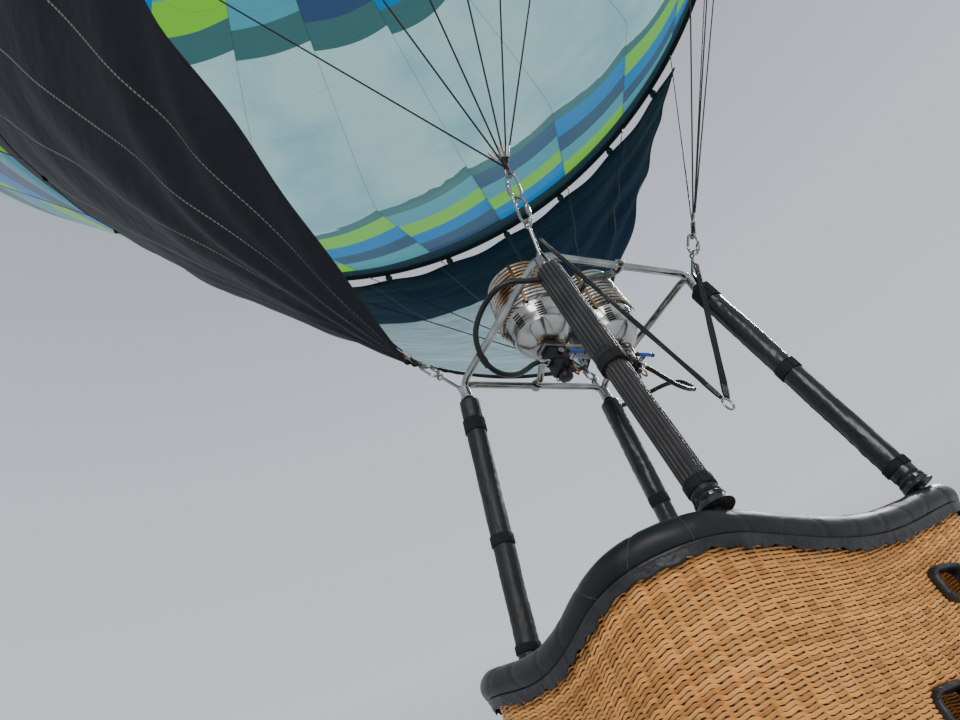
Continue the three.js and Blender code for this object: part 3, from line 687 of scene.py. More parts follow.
BRASS = Plain("brass", (0.42, 0.27, 0.09), (0.26, 0.16, 0.05), 0.3, 1.0, scale=150.0, depth=0.0001)
COPPER = Plain("copper_tube", (0.5, 0.2, 0.1), (0.25, 0.1, 0.05), 0.28, 1.0, scale=120.0, depth=0.0001)
BRONZE = Plain("heated_bronze", (0.2, 0.13, 0.07), (0.09, 0.06, 0.035), 0.38, 1.0, scale=120.0, depth=0.0002)
# Near-black plates on the burner cans: painted shade standing for the slots' openings.
SLOT_SHADE = Plain("slot_soot", (0.008, 0.007, 0.006), (0.02, 0.017, 0.014), 0.8, scale=200.0, specular=0.2)
PLYWOOD = Plain(
    "plywood", (0.34, 0.2, 0.095), (0.24, 0.13, 0.055), 0.55, grain=Grain.WOOD, scale=40.0, depth=0.0006
)
JACKET = Plain(
    "cylinder_jacket", (0.012, 0.02, 0.045), (0.022, 0.035, 0.07), 0.65, grain=Grain.CREASED, scale=300.0,
    depth=0.002, specular=0.25,
)
STAKE = Plain("willow_stake", (0.2, 0.1, 0.035), (0.1, 0.045, 0.015), 0.6, grain=Grain.WOOD, scale=60.0)
# A dark sheet in the middle of the wall: painted shade for the gaps between strands, not a part of the
# basket.
WEAVE_SHADOW_SHEET = Plain("willow_core", (0.07, 0.03, 0.01), (0.035, 0.015, 0.006), 0.8, scale=200.0, specular=0.2)
LACE = Plain("rawhide_lace", (0.02, 0.014, 0.01), (0.05, 0.034, 0.022), 0.5, scale=500.0)
PIPING = Plain("grey_piping", (0.06, 0.052, 0.042), (0.13, 0.115, 0.1), 0.55, scale=500.0)
THREAD = Plain("pale_thread", (0.4, 0.38, 0.3), (0.28, 0.27, 0.22), 0.7, scale=400.0)
WILLOW = Willow("willow")
COIL = TintedCoil("tinted_coil")
COIL_GREY = TintedCoil("grey_coil", gold=(0.3, 0.25, 0.2), rust=(0.09, 0.075, 0.06))


# Meshes


def along(line: Sequence[Vector], joined: bool) -> list[Vector]:
    """Unit way of a line at each of its points.

    Args:
        line: the points.
        joined: whether its ends meet.

    Returns:
        The ways.
    """
    count = len(line)
    ways = []
    for i in range(count):
        before = line[(i - 1) % count] if joined or i else line[0]
        after = line[(i + 1) % count] if joined or i < count - 1 else line[-1]
        ways.append((after - before).normalized())
    return ways


def smooth(points: Sequence[Sequence[float]], steps: int) -> list[Vector]:
    """Even points on a smooth curve through given ones.

    Args:
        points: places that the curve passes.
        steps: stretches between each two.

    Returns:
        The curve's points.
    """
    knots = [Vector(p) for p in points]
    line = []
    for i in range(len(knots) - 1):
        before = knots[max(i - 1, 0)]
        start, end = knots[i], knots[i + 1]
        after = knots[min(i + 2, len(knots) - 1)]
        for step in range(steps):
            t = step / steps
            a = 2 * start
            b = (end - before) * t
            c = (2 * before - 5 * start + 4 * end - after) * t * t
            d = (3 * start - before - 3 * end + after) * t * t * t
            line.append((a + b + c + d) * 0.5)
    line.append(knots[-1])
    return line


def length_of(line: Sequence[Vector]) -> float:
    """Length of a line of points."""
    return sum((b - a).length for a, b in zip(line, line[1:]))


def turned_to(way: Vector, at: Vector = Vector((0, 0, 0))) -> Matrix:
    """Matrix that turns +Z to a way and moves to a place."""
    turn = Vector((0, 0, 1)).rotation_difference(way.normalized())
    return Matrix.Translation(at) @ turn.to_matrix().to_4x4()


class Mould:
    """A mesh in the making."""

    def __init__(self) -> None:
        """Starts empty."""
        self.bm = bmesh.new()

    def put(self, other: "Mould", *places: Matrix) -> "Mould":
        """Adds another mesh at each place.

        Args:
            other: that mesh.
            places: where; none leaves it as it was drawn.

        Returns:
            This mesh.
        """
        mesh = bpy.data.meshes.new("part")
        other.bm.to_mesh(mesh)
        for place in places or (Matrix.Identity(4),):
            copy = mesh.copy()
            copy.transform(place)
            if place.determinant() < 0:
                copy.flip_normals()
            self.bm.from_mesh(copy)
            bpy.data.meshes.remove(copy)
        bpy.data.meshes.remove(mesh)
        return self

    def moved(self, move: Callable[[Vector], Vector]) -> "Mould":
        """Moves each vertex by a rule.

        Args:
            move: rule from a place to the new one.

        Returns:
            This mesh.
        """
        for vert in self.bm.verts:
            vert.co = move(vert.co)
        return self

    def mapped(self, share: Callable[[Vector], tuple[float, float]]) -> "Mould":
        """Gives the faces the map that finishes read.

        Args:
            share: rule from a vertex's place to its place on the map.

        Returns:
            This mesh.
        """
        own = self.bm.loops.layers.uv.new("cloth")
        for face in self.bm.faces:
            for loop in face.loops:
                loop[own].uv = share(loop.vert.co)
        return self

    def edges_over(self, degrees: float) -> list[bmesh.types.BMEdge]:
        """Edges whose faces meet at more than an angle."""
        limit = math.radians(degrees)
        return [e for e in self.bm.edges if len(e.link_faces) == 2 and e.calc_face_angle(0) > limit]

    def rounded(self, width: float, segments: int = 2, degrees: float = 40) -> "Mould":
        """Bevels the sharp edges.

        Args:
            width: width of the bevel.
            segments: its segments.
            degrees: angle over which an edge is sharp.

        Returns:
            This mesh.
        """
        bmesh.ops.bevel(
            self.bm,
            geom=self.edges_over(degrees),
            offset=width,
            offset_type="OFFSET",
            segments=segments,
            profile=0.5,
            affect="EDGES",
            material=-1,
        )
        return self

    def piece(
        self,
        name: str,
        finishes: "Finish | Sequence[Finish]",
        body: Body | None,
        slot: str,
        replaces: Sequence[str] = (),
        sharp: float = 38,
    ) -> bpy.types.Object:
        """Makes the object, sets it on its body and hides the solids that it stands for.

        Args:
            name: the piece's name.
            finishes: its finish, or one for each material number.
            body: the body that it rides on, or none where it bends between two.
            slot: the record's material slot.
            replaces: solids that it stands for.
            sharp: angle over which an edge shades sharp.

        Returns:
            The object.
        """
        bmesh.ops.remove_doubles(self.bm, verts=self.bm.verts, dist=1e-6)
        for face in self.bm.faces:
            face.smooth = True
        for edge in self.edges_over(sharp):
            edge.smooth = False
        mesh = bpy.data.meshes.new(name)
        self.bm.to_mesh(mesh)
        self.bm.free()
        for finish in [finishes] if isinstance(finishes, Finish) else finishes:
            mesh.materials.append(finish.made())
        made = bpy.data.objects.new(name, mesh)
        bpy.context.scene.collection.objects.link(made)
        if body is not None:
            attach(made, body.value)
        if replaces:
            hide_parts(*replaces)
        LOG.info("%s: %d faces", name, len(mesh.polygons))
        return made

    def piece_at(self, place: Matrix, *facts: object) -> bpy.types.Object:
        """Moves the mesh to its place and makes the object."""
        return Mould().put(self, place).piece(*facts)


def tube(
    line: Sequence[Vector],
    radius: float | Sequence[float],
    sides: int = 12,
    ends: Ends = Ends.CAPPED,
    flat: float = 1.0,
    up: Vector | None = None,
) -> Mould:
    """Sweeps a round section along a line.

    Args:
        line: centres of the section.
        radius: its radius, or one for each centre.
        sides: sides of the section.
        ends: how it ends.
        flat: height of the section for a width of one.
        up: way that the section's height keeps to, where it shouldn't roll.

    Returns:
        The tube.
    """
    mould = Mould()
    line = [Vector(p) for p in line]
    ways = along(line, ends is Ends.JOINED)
    side = up or ways[0].orthogonal()
    places = []
    for centre, way, i in zip(line, ways, range(len(line))):
        if up is not None:
            side = up
        side = (side - way * side.dot(way)).normalized()
        size = radius[i] if isinstance(radius, (list, tuple)) else radius
        turn = Matrix((way.cross(side), side, way)).transposed().to_4x4()
        places.append(Matrix.Translation(centre) @ turn @ Matrix.Diagonal((size, size * flat, size, 1)))
    bmesh.ops.create_circle(mould.bm, segments=sides, radius=1.0, matrix=places[0])
    first = list(mould.bm.edges)
    edges = first
    for before, place in zip(places, places[1:]):
        grown = bmesh.ops.extrude_edge_only(mould.bm, edges=edges)["geom"]
        verts = [g for g in grown if isinstance(g, bmesh.types.BMVert)]
        inside = set(verts)
        edges = [
            g for g in grown if isinstance(g, bmesh.types.BMEdge) and all(v in inside for v in g.verts)
        ]
        bmesh.ops.transform(mould.bm, matrix=place @ before.inverted(), verts=verts)
    if ends is Ends.JOINED:
        bmesh.ops.bridge_loops(mould.bm, edges=first + edges)
    elif ends is Ends.CAPPED:
        bmesh.ops.edgeloop_fill(mould.bm, edges=first)
        bmesh.ops.edgeloop_fill(mould.bm, edges=edges)
    bmesh.ops.recalc_face_normals(mould.bm, faces=mould.bm.faces)
    return mould


def lathe(profile: Sequence[tuple[float, float]], steps: int = 32) -> Mould:
    """Spins a profile of radius and height pairs about Z; it closes or ends on the axis.

    Args:
        profile: the pairs.
        steps: faces round.

    Returns:
        The turned mesh.
    """
    mould = Mould()
    verts = [mould.bm.verts.new((radius, 0, z)) for radius, z in profile]
    edges = [mould.bm.edges.new(pair) for pair in zip(verts, verts[1:])]
    bmesh.ops.spin(
        mould.bm,
        geom=verts + edges,
        cent=(0, 0, 0),
        axis=(0, 0, 1),
        angle=TURN,
        steps=steps,
        use_merge=True,
        use_duplicate=False,
    )
    bmesh.ops.remove_doubles(mould.bm, verts=mould.bm.verts, dist=1e-6)
    bmesh.ops.recalc_face_normals(mould.bm, faces=mould.bm.faces)
    return mould


def rod(start: Vector, end: Vector, radius: float, sides: int = 20, chamfer: float = 0.0) -> Mould:
    """A straight round bar between two points.

    Args:
        start: one end.
        end: the other.
        radius: its radius.
        sides: its sides.
        chamfer: bevel of its ends.

    Returns:
        The bar.
    """
    mould = Mould()
    start, end = Vector(start), Vector(end)
    long = (end - start).length
    bmesh.ops.create_cone(
        mould.bm, cap_ends=True, segments=sides, radius1=radius, radius2=radius, depth=long
    )
    if chamfer:
        mould.rounded(chamfer, 2, 60)
    bmesh.ops.transform(mould.bm, matrix=turned_to(end - start, (start + end) / 2), verts=mould.bm.verts)
    return mould


def hoop(
    centre: Vector, first: Vector, second: Vector, thick: float, steps: int = 32, sides: int = 12
) -> Mould:
    """Bends a round bar into a ring.

    Args:
        centre: middle of the ring.
        first: way and distance to the bar's first point.
        second: the same for the point a quarter of a turn on.
        thick: radius of the bar.
        steps: stretches round the ring.
        sides: sides of the bar.

    Returns:
        The ring.
    """
    turns = (TURN * i / steps for i in range(steps))
    line = [centre + first * math.cos(a) + second * math.sin(a) for a in turns]
    return tube(line, thick, sides, Ends.JOINED, up=second.cross(first).normalized())


def hex_nut(radius: float, depth: float, bevel: float = 0.0008) -> Mould:
    """A six-sided nut about Z.

    Args:
        radius: distance to its corners.
        depth: its height.
        bevel: width of the bevel.

    Returns:
        The nut.
    """
    nut = Mould()
    bmesh.ops.create_cone(nut.bm, cap_ends=True, segments=6, radius1=radius, radius2=radius, depth=depth)
    return nut.rounded(bevel)


def pushed(co: Vector, out: float) -> Vector:
    """Place moved away from the Z axis."""
    return co + Vector((co.x, co.y, 0)).normalized() * out


def polar(radius: float, angle: float, z: float) -> Vector:
    """Place at a radius, an angle and a height."""
    return Vector((radius * math.cos(angle), radius * math.sin(angle), z))


def polar_of(co: Vector) -> tuple[float, float]:
    """Radius and angle of a place."""
    return math.hypot(co.x, co.y), math.atan2(co.y, co.x)


def squared(angle: float, power: float) -> list[float]:
    """Cosine and sine of an angle, drawn out towards the corners of a square."""
    return [math.copysign(abs(v) ** power, v) for v in (math.cos(angle), math.sin(angle))]


def turns_of(count: int, start: float = 0.0) -> list[Matrix]:
    """Matrices that repeat a mesh evenly about Z, the first one turned by the start."""
    return [Matrix.Rotation(start + TURN * i / count, 4, "Z") for i in range(count)]


def slab(centre: Sequence[float], size: Sequence[float], bevel: float = 0.002) -> Mould:
    """A block with rounded edges.

    Args:
        centre: its middle.
        size: its size on each axis.
        bevel: width of the bevel.

    Returns:
        The block.
    """
    mould = Mould()
    place = Matrix.Translation(Vector(centre)) @ Matrix.Diagonal((*size, 1))
    bmesh.ops.create_cube(mould.bm, size=1.0, matrix=place)
    return mould.rounded(bevel, 2)


def cloth(columns: int, rows: int, place: Callable[[float, float], Vector]) -> Mould:
    """A grid whose points go where a rule puts shares from 0 to 1, with those shares as its map.

    Args:
        columns: faces across.
        rows: faces up.
        place: rule from two shares to a point.

    Returns:
        The sheet.
    """
    mould = Mould()
    bmesh.ops.create_grid(mould.bm, x_segments=columns, y_segments=rows, size=0.5)
    mould.mapped(lambda co: (co.x + 0.5, co.y + 0.5))
    return mould.moved(lambda co: place(co.x + 0.5, co.y + 0.5))


def thicken(made: bpy.types.Object, depth: float, offset: float, inner: int = 0) -> None:
    """Gives a sheet its thickness by a live modifier.

    Args:
        made: the sheet.
        depth: its thickness.
        offset: side that it grows to, from -1 to 1.
        inner: steps to the material of the other side.
    """
    solid = made.modifiers.new("thickness", "SOLIDIFY")
    solid.thickness = depth
    solid.offset = offset
    solid.material_offset = inner


def soften(made: bpy.types.Object, levels: int = 1) -> None:
    """Subdivides a piece by a live modifier.

    Args:
        made: the piece.
        levels: levels, in view and in render.
    """
    finer = made.modifiers.new("finer", "SUBSURF")
    finer.levels = levels
    finer.render_levels = levels


# Sub-assemblies


@dataclass
class Studio:
    """Camera, lights, backdrop and floor."""

    eye: Point = (-1.8864, -1.5891, -14.3220)
    right: Point = (0.85166, -0.40274, -0.33539)
    up: Point = (-0.03191, -0.67859, 0.73383)
    back: Point = (-0.52313, -0.61427, -0.59077)
    lens: float = 27.013
    sensor: float = 36.0
    floor_size: float = 400.0
    sky_strength: float = 0.9
    suns: tuple[tuple[str, Point, float, float], ...] = (
        ("key", (0.62, 0.05, 0.42), 2.9, 10.0),
        ("fill", (-0.6, -0.85, 0.3), 1.9, 30.0),
    )
    heights: tuple[tuple[float, Colour], ...] = (
        (0.0, (0.5, 0.52, 0.55)),
        (0.1, (0.6, 0.63, 0.67)),
        (0.27, (0.84, 0.89, 0.95)),
        (0.55, (0.74, 0.8, 0.88)),
        (1.0, (0.36, 0.4, 0.48)),
    )

    def build(self) -> None:
        """Makes the camera, the lights, the sky and the floor."""
        camera = bpy.data.objects.new("camera", bpy.data.cameras.new("camera"))
        bpy.context.scene.collection.objects.link(camera)
        axes = Matrix((self.right, self.up, self.back)).transposed().to_4x4()
        camera.matrix_world = Matrix.Translation(Vector(self.eye)) @ axes
        camera.data.lens = self.lens
        camera.data.sensor_width = self.sensor
        camera.data.clip_start = 0.02
        camera.data.clip_end = 500.0
        bpy.context.scene.camera = camera
        self.sky()
        for name, way, strength, soft in self.suns:
            self.sun(name, way, strength, soft)
        mould = Mould()
        place = Matrix.Translation((0, 0, SKID_BOTTOM - 0.002))
        bmesh.ops.create_grid(
            mould.bm, x_segments=1, y_segments=1, size=self.floor_size / 2, matrix=place
        )
        mesh = bpy.data.meshes.new("floor")
        mould.bm.to_mesh(mesh)
        pale = Plain("floor_pale", (0.62, 0.64, 0.66), (0.64, 0.66, 0.68), 0.9, depth=0.0, patch=0.2)
        mesh.materials.append(pale.made())
        floor = bpy.data.objects.new("floor", mesh)
        bpy.context.scene.collection.objects.link(floor)

    def sky(self) -> None:
        """Paints the world by height, dimmer low down and overhead, for the steel to mirror."""
        world = bpy.data.worlds.new("sky")
        world.use_nodes = True
        bpy.context.scene.world = world
        tree = world.node_tree
        place = tree.nodes.new("ShaderNodeTexCoord")
        split = tree.nodes.new("ShaderNodeSeparateXYZ")
        ramp = tree.nodes.new("ShaderNodeValToRGB")
        Graph.set_stops(ramp.color_ramp, self.heights)
        tree.links.new(place.outputs["Generated"], split.inputs[0])
        tree.links.new(split.outputs["Z"], ramp.inputs[0])
        tree.links.new(ramp.outputs[0], tree.nodes["Background"].inputs[0])
        tree.nodes["Background"].inputs[1].default_value = self.sky_strength

    def sun(self, name: str, way: Point, strength: float, soft: float) -> None:
        """Adds a soft distant light that shines from a way.

        Args:
            name: the light's name.
            way: way to it.
            strength: its strength.
            soft: its angle in degrees.
        """
        light = bpy.data.lights.new(name, "SUN")
        light.energy = strength
        light.angle = math.radians(soft)
        lamp = bpy.data.objects.new(name, light)
        lamp.matrix_world = turned_to(Vector(way))
        bpy.context.scene.collection.objects.link(lamp)


@dataclass
class Envelope:
    """Gored cloth from the vent's edge to the mouth, with tapes, mouth band and vent panel."""

    radius: float = 8.4
    crown: float = 6.7
    shoulder: float = 4.265
    cone: float = math.radians(36)
    vent_radius: float = 2.5
    vent_seat: float = 2.85
    vent_panel: float = 2.75
    band_radius: float = 2.8
    bulge: float = 0.13
    fabric: float = 0.01
    facets: int = 10
    gap: float = 0.0003
    tape: float = 0.0012
    tape_width: float = 0.025

    def dome_z(self, radius: float) -> float:
        """Height of the dome at a radius."""
        return self.crown * math.sqrt(1 - (radius / self.radius) ** 2)

    def meridian(self) -> list[tuple[float, float]]:
        """Radius and height pairs of the load tapes, from the vent down to the mouth band.

        Returns:
            The pairs.
        """
        seat = math.asin(self.vent_seat / self.radius)
        points = [(self.vent_radius, self.vent_edge_z)]
        for i in range(18):
            angle = seat + (math.pi / 2 - seat) * i / 18
            points.append((self.radius * math.sin(angle), self.crown * math.cos(angle)))
        for i in range(10):
            angle = self.cone * i / 9
            radius = self.radius - self.shoulder * (1 - math.cos(angle))
            points.append((radius, -self.shoulder * math.sin(angle)))
        start = points[-1][1]
        for i in range(1, 19):
            points.append(self.cone_point(start + (BASE_BAND_Z - start) * i / 18))
        return points

    @property
    def vent_edge_z(self) -> float:
        """Height of the cloth's edge round the vent."""
        return self.dome_z(self.vent_radius)

    @property
    def fall(self) -> float:
        """Slope of the cloth from the vent's edge out to the panel's seat."""
        return (self.dome_z(self.vent_seat) - self.vent_edge_z) / (self.vent_seat - self.vent_radius)

    def cone_point(self, z: float) -> tuple[float, float]:
        """Radius and height on the cone."""
        return (MOUTH_RADIUS + (z - MOUTH_Z) * math.tan(self.cone), z)

    def billow(self, co: Vector) -> Vector:
        """Stands the cloth proud between the tapes.

        Args:
            co: place on a round cloth.

        Returns:
            The place on the gored one.
        """
        radius, angle = polar_of(co)
        tight = max(0.0, (radius - self.vent_seat) / (self.radius - self.vent_seat))
        turn = (angle - FIRST_SEAM) * GORES / TURN
        share = turn - math.floor(turn)
        out = 1 + self.bulge * tight * math.sin(math.pi * share) / radius
        return Vector((co.x * out, co.y * out, co.z))

    def shell(self, points: Sequence[tuple[float, float]]) -> Mould:
        """Spins part of the meridian and billows it, its faces pointing out.

        Args:
            points: radius and height pairs.

        Returns:
            The cloth.
        """
        mould = lathe(points, GORES * self.facets)
        turn = Matrix.Rotation(FIRST_SEAM, 4, "Z")
        bmesh.ops.transform(mould.bm, matrix=turn, verts=mould.bm.verts)
        mould.moved(self.billow)
        self.face_out(mould)
        return mould

    @staticmethod
    def face_out(mould: Mould) -> None:
        """Turns an open shell so that its faces point away from the origin.

        Args:
            mould: the shell.
        """
        mould.bm.normal_update()
        votes = sum(1 if f.normal.dot(f.calc_center_median()) > 0 else -1 for f in mould.bm.faces)
        if votes < 0:
            bmesh.ops.reverse_faces(mould.bm, faces=mould.bm.faces)

    def build(self) -> None:
        """Makes the cloth, the mouth band, the vent panel and the tapes."""
        body = self.shell(self.meridian())
        nodes = ("envelope_top_panels", "envelope_side_panels", "envelope_cone_panels")
        finishes = (OUTSIDE_CLOTH, INSIDE_CLOTH)
        made = body.piece("envelope_cloth", finishes, Body.BALLOON, "envelope_fabric", nodes, 80)
        thicken(made, self.fabric, -1.0, 1)
        rows = [self.cone_point(z) for z in (BASE_BAND_Z - self.gap, -9.03, -9.17, MOUTH_Z)]
        band = self.shell(rows)
        finishes, nodes = (BAND_OUTSIDE, BAND_INSIDE), ("mouth_band",)
        made = band.piece("mouth_band_cloth", finishes, Body.BALLOON, "heatproof_fabric", nodes, 80)
        thicken(made, self.fabric, -1.0, 1)
        self.build_vent()
        self.build_tapes()

    def build_vent(self) -> None:
        """Makes the vent panel, puckered between the tapes that cross it."""
        below = self.fabric * math.hypot(1, self.fall) + 0.0006
        lip = self.vent_edge_z + (self.vent_panel - self.vent_radius) * self.fall - below
        rows = [(r, self.dome_z(r) - below) for r in (0.0, 0.3, 0.8, 1.3, 1.8, 2.2, self.vent_radius)]
        rows.append((self.vent_panel, lip))
        mould = lathe(rows, GORES * 6)
        self.face_out(mould)

        def pucker(co: Vector) -> Vector:
            """Draws a point of the panel down between the tapes.

            Args:
                co: the point.

            Returns:
                The new point.
            """
            radius, angle = polar_of(co)
            wave = math.cos(angle * GORES) - 1
            inner = max(0.0, 1 - abs(radius - 1.5) / 1.1)
            return co + Vector((0, 0, 0.02 * wave * inner))

        mould.moved(pucker)
        made = mould.piece("vent_panel_cloth", VENT_CLOTH, Body.VENT, "vent_fabric", ("vent_panel",))
        thicken(made, self.fabric, -1.0)

    def build_tapes(self) -> None:
        """Makes one load tape down each seam, proud of the cloth by its own thickness."""
        line = [Vector((radius, 0, z)) for radius, z in self.meridian()[1:]]
        line.append(Vector((MOUTH_RADIUS, 0, MOUTH_Z + 0.004)))
        ways = along(line, False)

        def place(across: float, share: float) -> Vector:
            """Point of a tape.

            Args:
                across: share of its width.
                share: share of its points, from the vent down.

            Returns:
                The point.
            """
            i = round(share * (len(line) - 1))
            out = Vector((-ways[i].z, 0, ways[i].x)).normalized() * self.tape
            return line[i] + out + Vector((0, (across - 0.5) * self.tape_width, 0))

        tapes = Mould().put(cloth(1, len(line) - 1, place), *turns_of(GORES, FIRST_SEAM))
        self.face_out(tapes)
        made = tapes.piece("load_tapes", TAPE, Body.BALLOON, "load_tape")
        thicken(made, self.tape, 1.0)


@dataclass(frozen=True)
class Chain:
    """One corner's wires, and the way between them that its links hang along."""

    corner: Corner
    links: int
    tapes: tuple[int, ...]
    top_radius: float = 2.639

    @property
    def label(self) -> str:
        """Name of the corner in a piece's name."""
        return self.corner.label

    @property
    def tops(self) -> list[Vector]:
        """Upper ends of the wires, at the mouth hem."""
        angles = [FIRST_SEAM + TURN * tape / GORES for tape in self.tapes]
        return [polar(self.top_radius, angle, HEM_BOTTOM + 0.02) for angle in angles]

    @property
    def way(self) -> Vector:
        """Way from the frame's corner to the middle of the upper ends."""
        return (sum(self.tops, Vector()) / len(self.tapes) - self.corner.foot).normalized()

    def at(self, height: float) -> Vector:
        """Place along the way."""
        return self.corner.foot + self.way * height

    def hung(self, turn: float = 0.0) -> Matrix:
        """Matrix from a piece drawn up +Z to its place along the way, turned about it."""
        return turned_to(self.way, self.corner.foot) @ Matrix.Rotation(turn, 4, "Z")


CHAINS = (
    Chain(Corner.NEAR_LEFT, 2, (11, 13, 14, 15, 16, 17)),
    Chain(Corner.NEAR_RIGHT, 1, (18, 19, 20, 21, 22)),
    Chain(Corner.FAR_RIGHT, 1, (0, 1, 2, 3, 4, 5)),
    Chain(Corner.FAR_LEFT, 1, (6, 7, 8, 9, 10)),
)


@dataclass
class Hoses:
    """Fuel hoses from the uprights' sleeves to the valve blocks, each joined by a coupling."""

    radius: float = 0.01
    middle: int = 9
    route: tuple[Point, ...] = (
        (-0.382, -0.355, -0.09),
        (-0.424, -0.339, -0.087),
        (-0.470, -0.322, -0.08),
        (-0.520, -0.300, -0.068),
        (-0.556, -0.265, -0.068),
        (-0.577, -0.215, -0.078),
        (-0.590, -0.165, -0.097),
        (-0.597, -0.120, -0.128),
        (-0.592, -0.088, -0.17),
        (-0.570, -0.062, -0.212),
        (-0.530, -0.042, -0.24),
        (-0.475, -0.028, -0.248),
        (-0.415, -0.018, -0.235),
        (-0.360, -0.010, -0.205),
        (-0.310, -0.004, -0.172),
        (-0.265, 0.0, -0.151),
        (-0.240, 0.0, -0.15),
        (-0.2186, 0.0, -0.15),
    )

    def build(self) -> None:
        """Makes each hose in two lengths, baked in place on no body, with its coupling and end."""
        for name, side in (("left", 1), ("right", -1)):
            knots = [Vector((side * x, side * y, FRAME_Z + z)) for x, y, z in self.route]
            line = smooth(knots, 4)
            split = self.middle * 4
            node = f"fuel_hose_{name}"
            facts = (HOSE_RUBBER, None, "hose_rubber", (node,))
            made = tube(line[: split + 1], self.radius, 16).piece(f"{node}_low", *facts)
            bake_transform(made)
            made = tube(line[split:], self.radius, 16).piece(f"{node}_high", *facts)
            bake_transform(made)
            self.coupling(f"hose_coupling_{name}", knots[self.middle], along(line, False)[split])
            self.end(f"hose_end_{name}", knots[-1], (knots[-3] - knots[-1]).normalized())

    def coupling(self, name: str, at: Vector, way: Vector) -> None:
        """Makes the black union in the middle of a hose.

        Args:
            name: the piece's name.
            at: its middle.
            way: way that the hose runs there.
        """
        profile = [(0.0101, -0.03), (0.0118, -0.029), (0.0118, -0.012), (0.0101, -0.011), (0.0101, 0.011)]
        profile += [(0.0118, 0.012), (0.0118, 0.029), (0.0101, 0.03), (0.0095, 0.0), (0.0101, -0.03)]
        mould = Mould().put(lathe(profile, 24), turned_to(way, at))
        mould.put(hex_nut(0.0142, 0.018), turned_to(way, at))
        mould.piece(name, VALVE_BLACK, Body.GIMBAL, "stainless_steel")

    def end(self, name: str, at: Vector, way: Vector) -> None:
        """Makes the pressed sleeve and the nut where a hose meets its valve block.

        Args:
            name: the piece's name.
            at: the hose's end.
            way: way back along the hose.
        """
        mould = rod(at + way * 0.018, at + way * 0.06, 0.0124, 24, 0.001)
        mould.put(hex_nut(0.0155, 0.017), turned_to(way, at + way * 0.009))
        mould.piece(name, BRIGHT_STEEL, Body.BURNERS, "stainless_steel")


@dataclass
class Bridle:
    """Two straps that hang from the near stems to a ring in front of the frame."""

    width: float = 0.028
    thick: float = 0.003
    ring_radius: float = 0.022
    ring_rod: float = 0.004
    top: float = 0.066
    front: float = 0.022
    forward: float = 0.047
    ring_height: float = 0.41
    sewn: float = 0.09
    swell: float = 0.0012
    twist: float = 0.0016

    def build(self) -> None:
        """Makes the ring and the straps."""
        centre = Vector((0, -FRAME_Y - self.forward, RIM_Z + self.ring_height))
        across, up = Vector((self.ring_radius, 0, 0)), Vector((0, 0, self.ring_radius))
        mould = hoop(centre, across, up, self.ring_rod, 40)
        ring = mould.piece("bridle_hoop", BRIGHT_STEEL, Body.BALLOON, "stainless_steel", ("bridle_ring",))
        for chain in CHAINS[:2]:
            self.build_strap(chain, centre)

    def build_strap(self, chain: Chain, centre: Vector) -> None:
        """Makes one strap with its sewn ends.

        Args:
            chain: corner that it hangs from.
            centre: middle of the ring.
        """
        start = chain.at(self.top / chain.way.z) - Vector((0, self.front, 0))
        way = (centre - start).normalized()
        end = centre - way * (self.ring_radius + self.ring_rod + SEAT)
        wide = way.cross(Vector((0, 1, 0))).normalized()
        line = [start.lerp(end, i / 24) for i in range(25)]

        def place(across: float, share: float) -> Vector:
            """Point of the strap, thicker where its ends are sewn back on it.

            Args:
                across: share of its width.
                share: share of its length, from the top.

            Returns:
                The point.
            """
            swell = self.swell if min(share, 1 - share) < self.sewn else 0.0
            twist = self.twist * math.sin(share * 19)
            narrow = 1 - 0.25 * max(0, share - 0.97) / 0.03
            at = start.lerp(end, share) + wide * (across - 0.5) * self.width * narrow
            return at + Vector((0, swell + twist * (across - 0.5) - self.thick / 2, 0))

        mould = cloth(6, 90, place)
        name = f"bridle_web_{chain.label}"
        made = mould.piece(name, WEB, Body.BALLOON, "strap_webbing", (f"bridle_strap_{chain.label}",))
        thicken(made, self.thick, 0.0)
        stitches = self.stitches(line, wide)
        sewn = stitches.piece(f"bridle_stitches_{chain.label}", THREAD, Body.BALLOON, "strap_webbing")
        length_of(line)
        [tuple(p) for p in line]

    def stitches(self, line: Sequence[Vector], wide: Vector) -> Mould:
        """Makes the rows of stitches at both ends of a strap.

        Args:
            line: middle line of the strap.
            wide: way across it.

        Returns:
            The stitches.
        """
        mould = Mould()
        way = (line[-1] - line[0]).normalized()
        face = Vector((0, -1, 0)) * (self.thick / 2 + self.swell + 0.0007)
        for end, sign in ((line[0], 1), (line[-1], -1)):
            for row in (-0.009, -0.003, 0.003, 0.009):
                for i in range(9):
                    at = end + way * sign * (0.012 + i * 0.006) + wide * row + face
                    mould.put(rod(at - way * 0.0018, at + way * 0.0018, 0.0005, 5))
        return mould


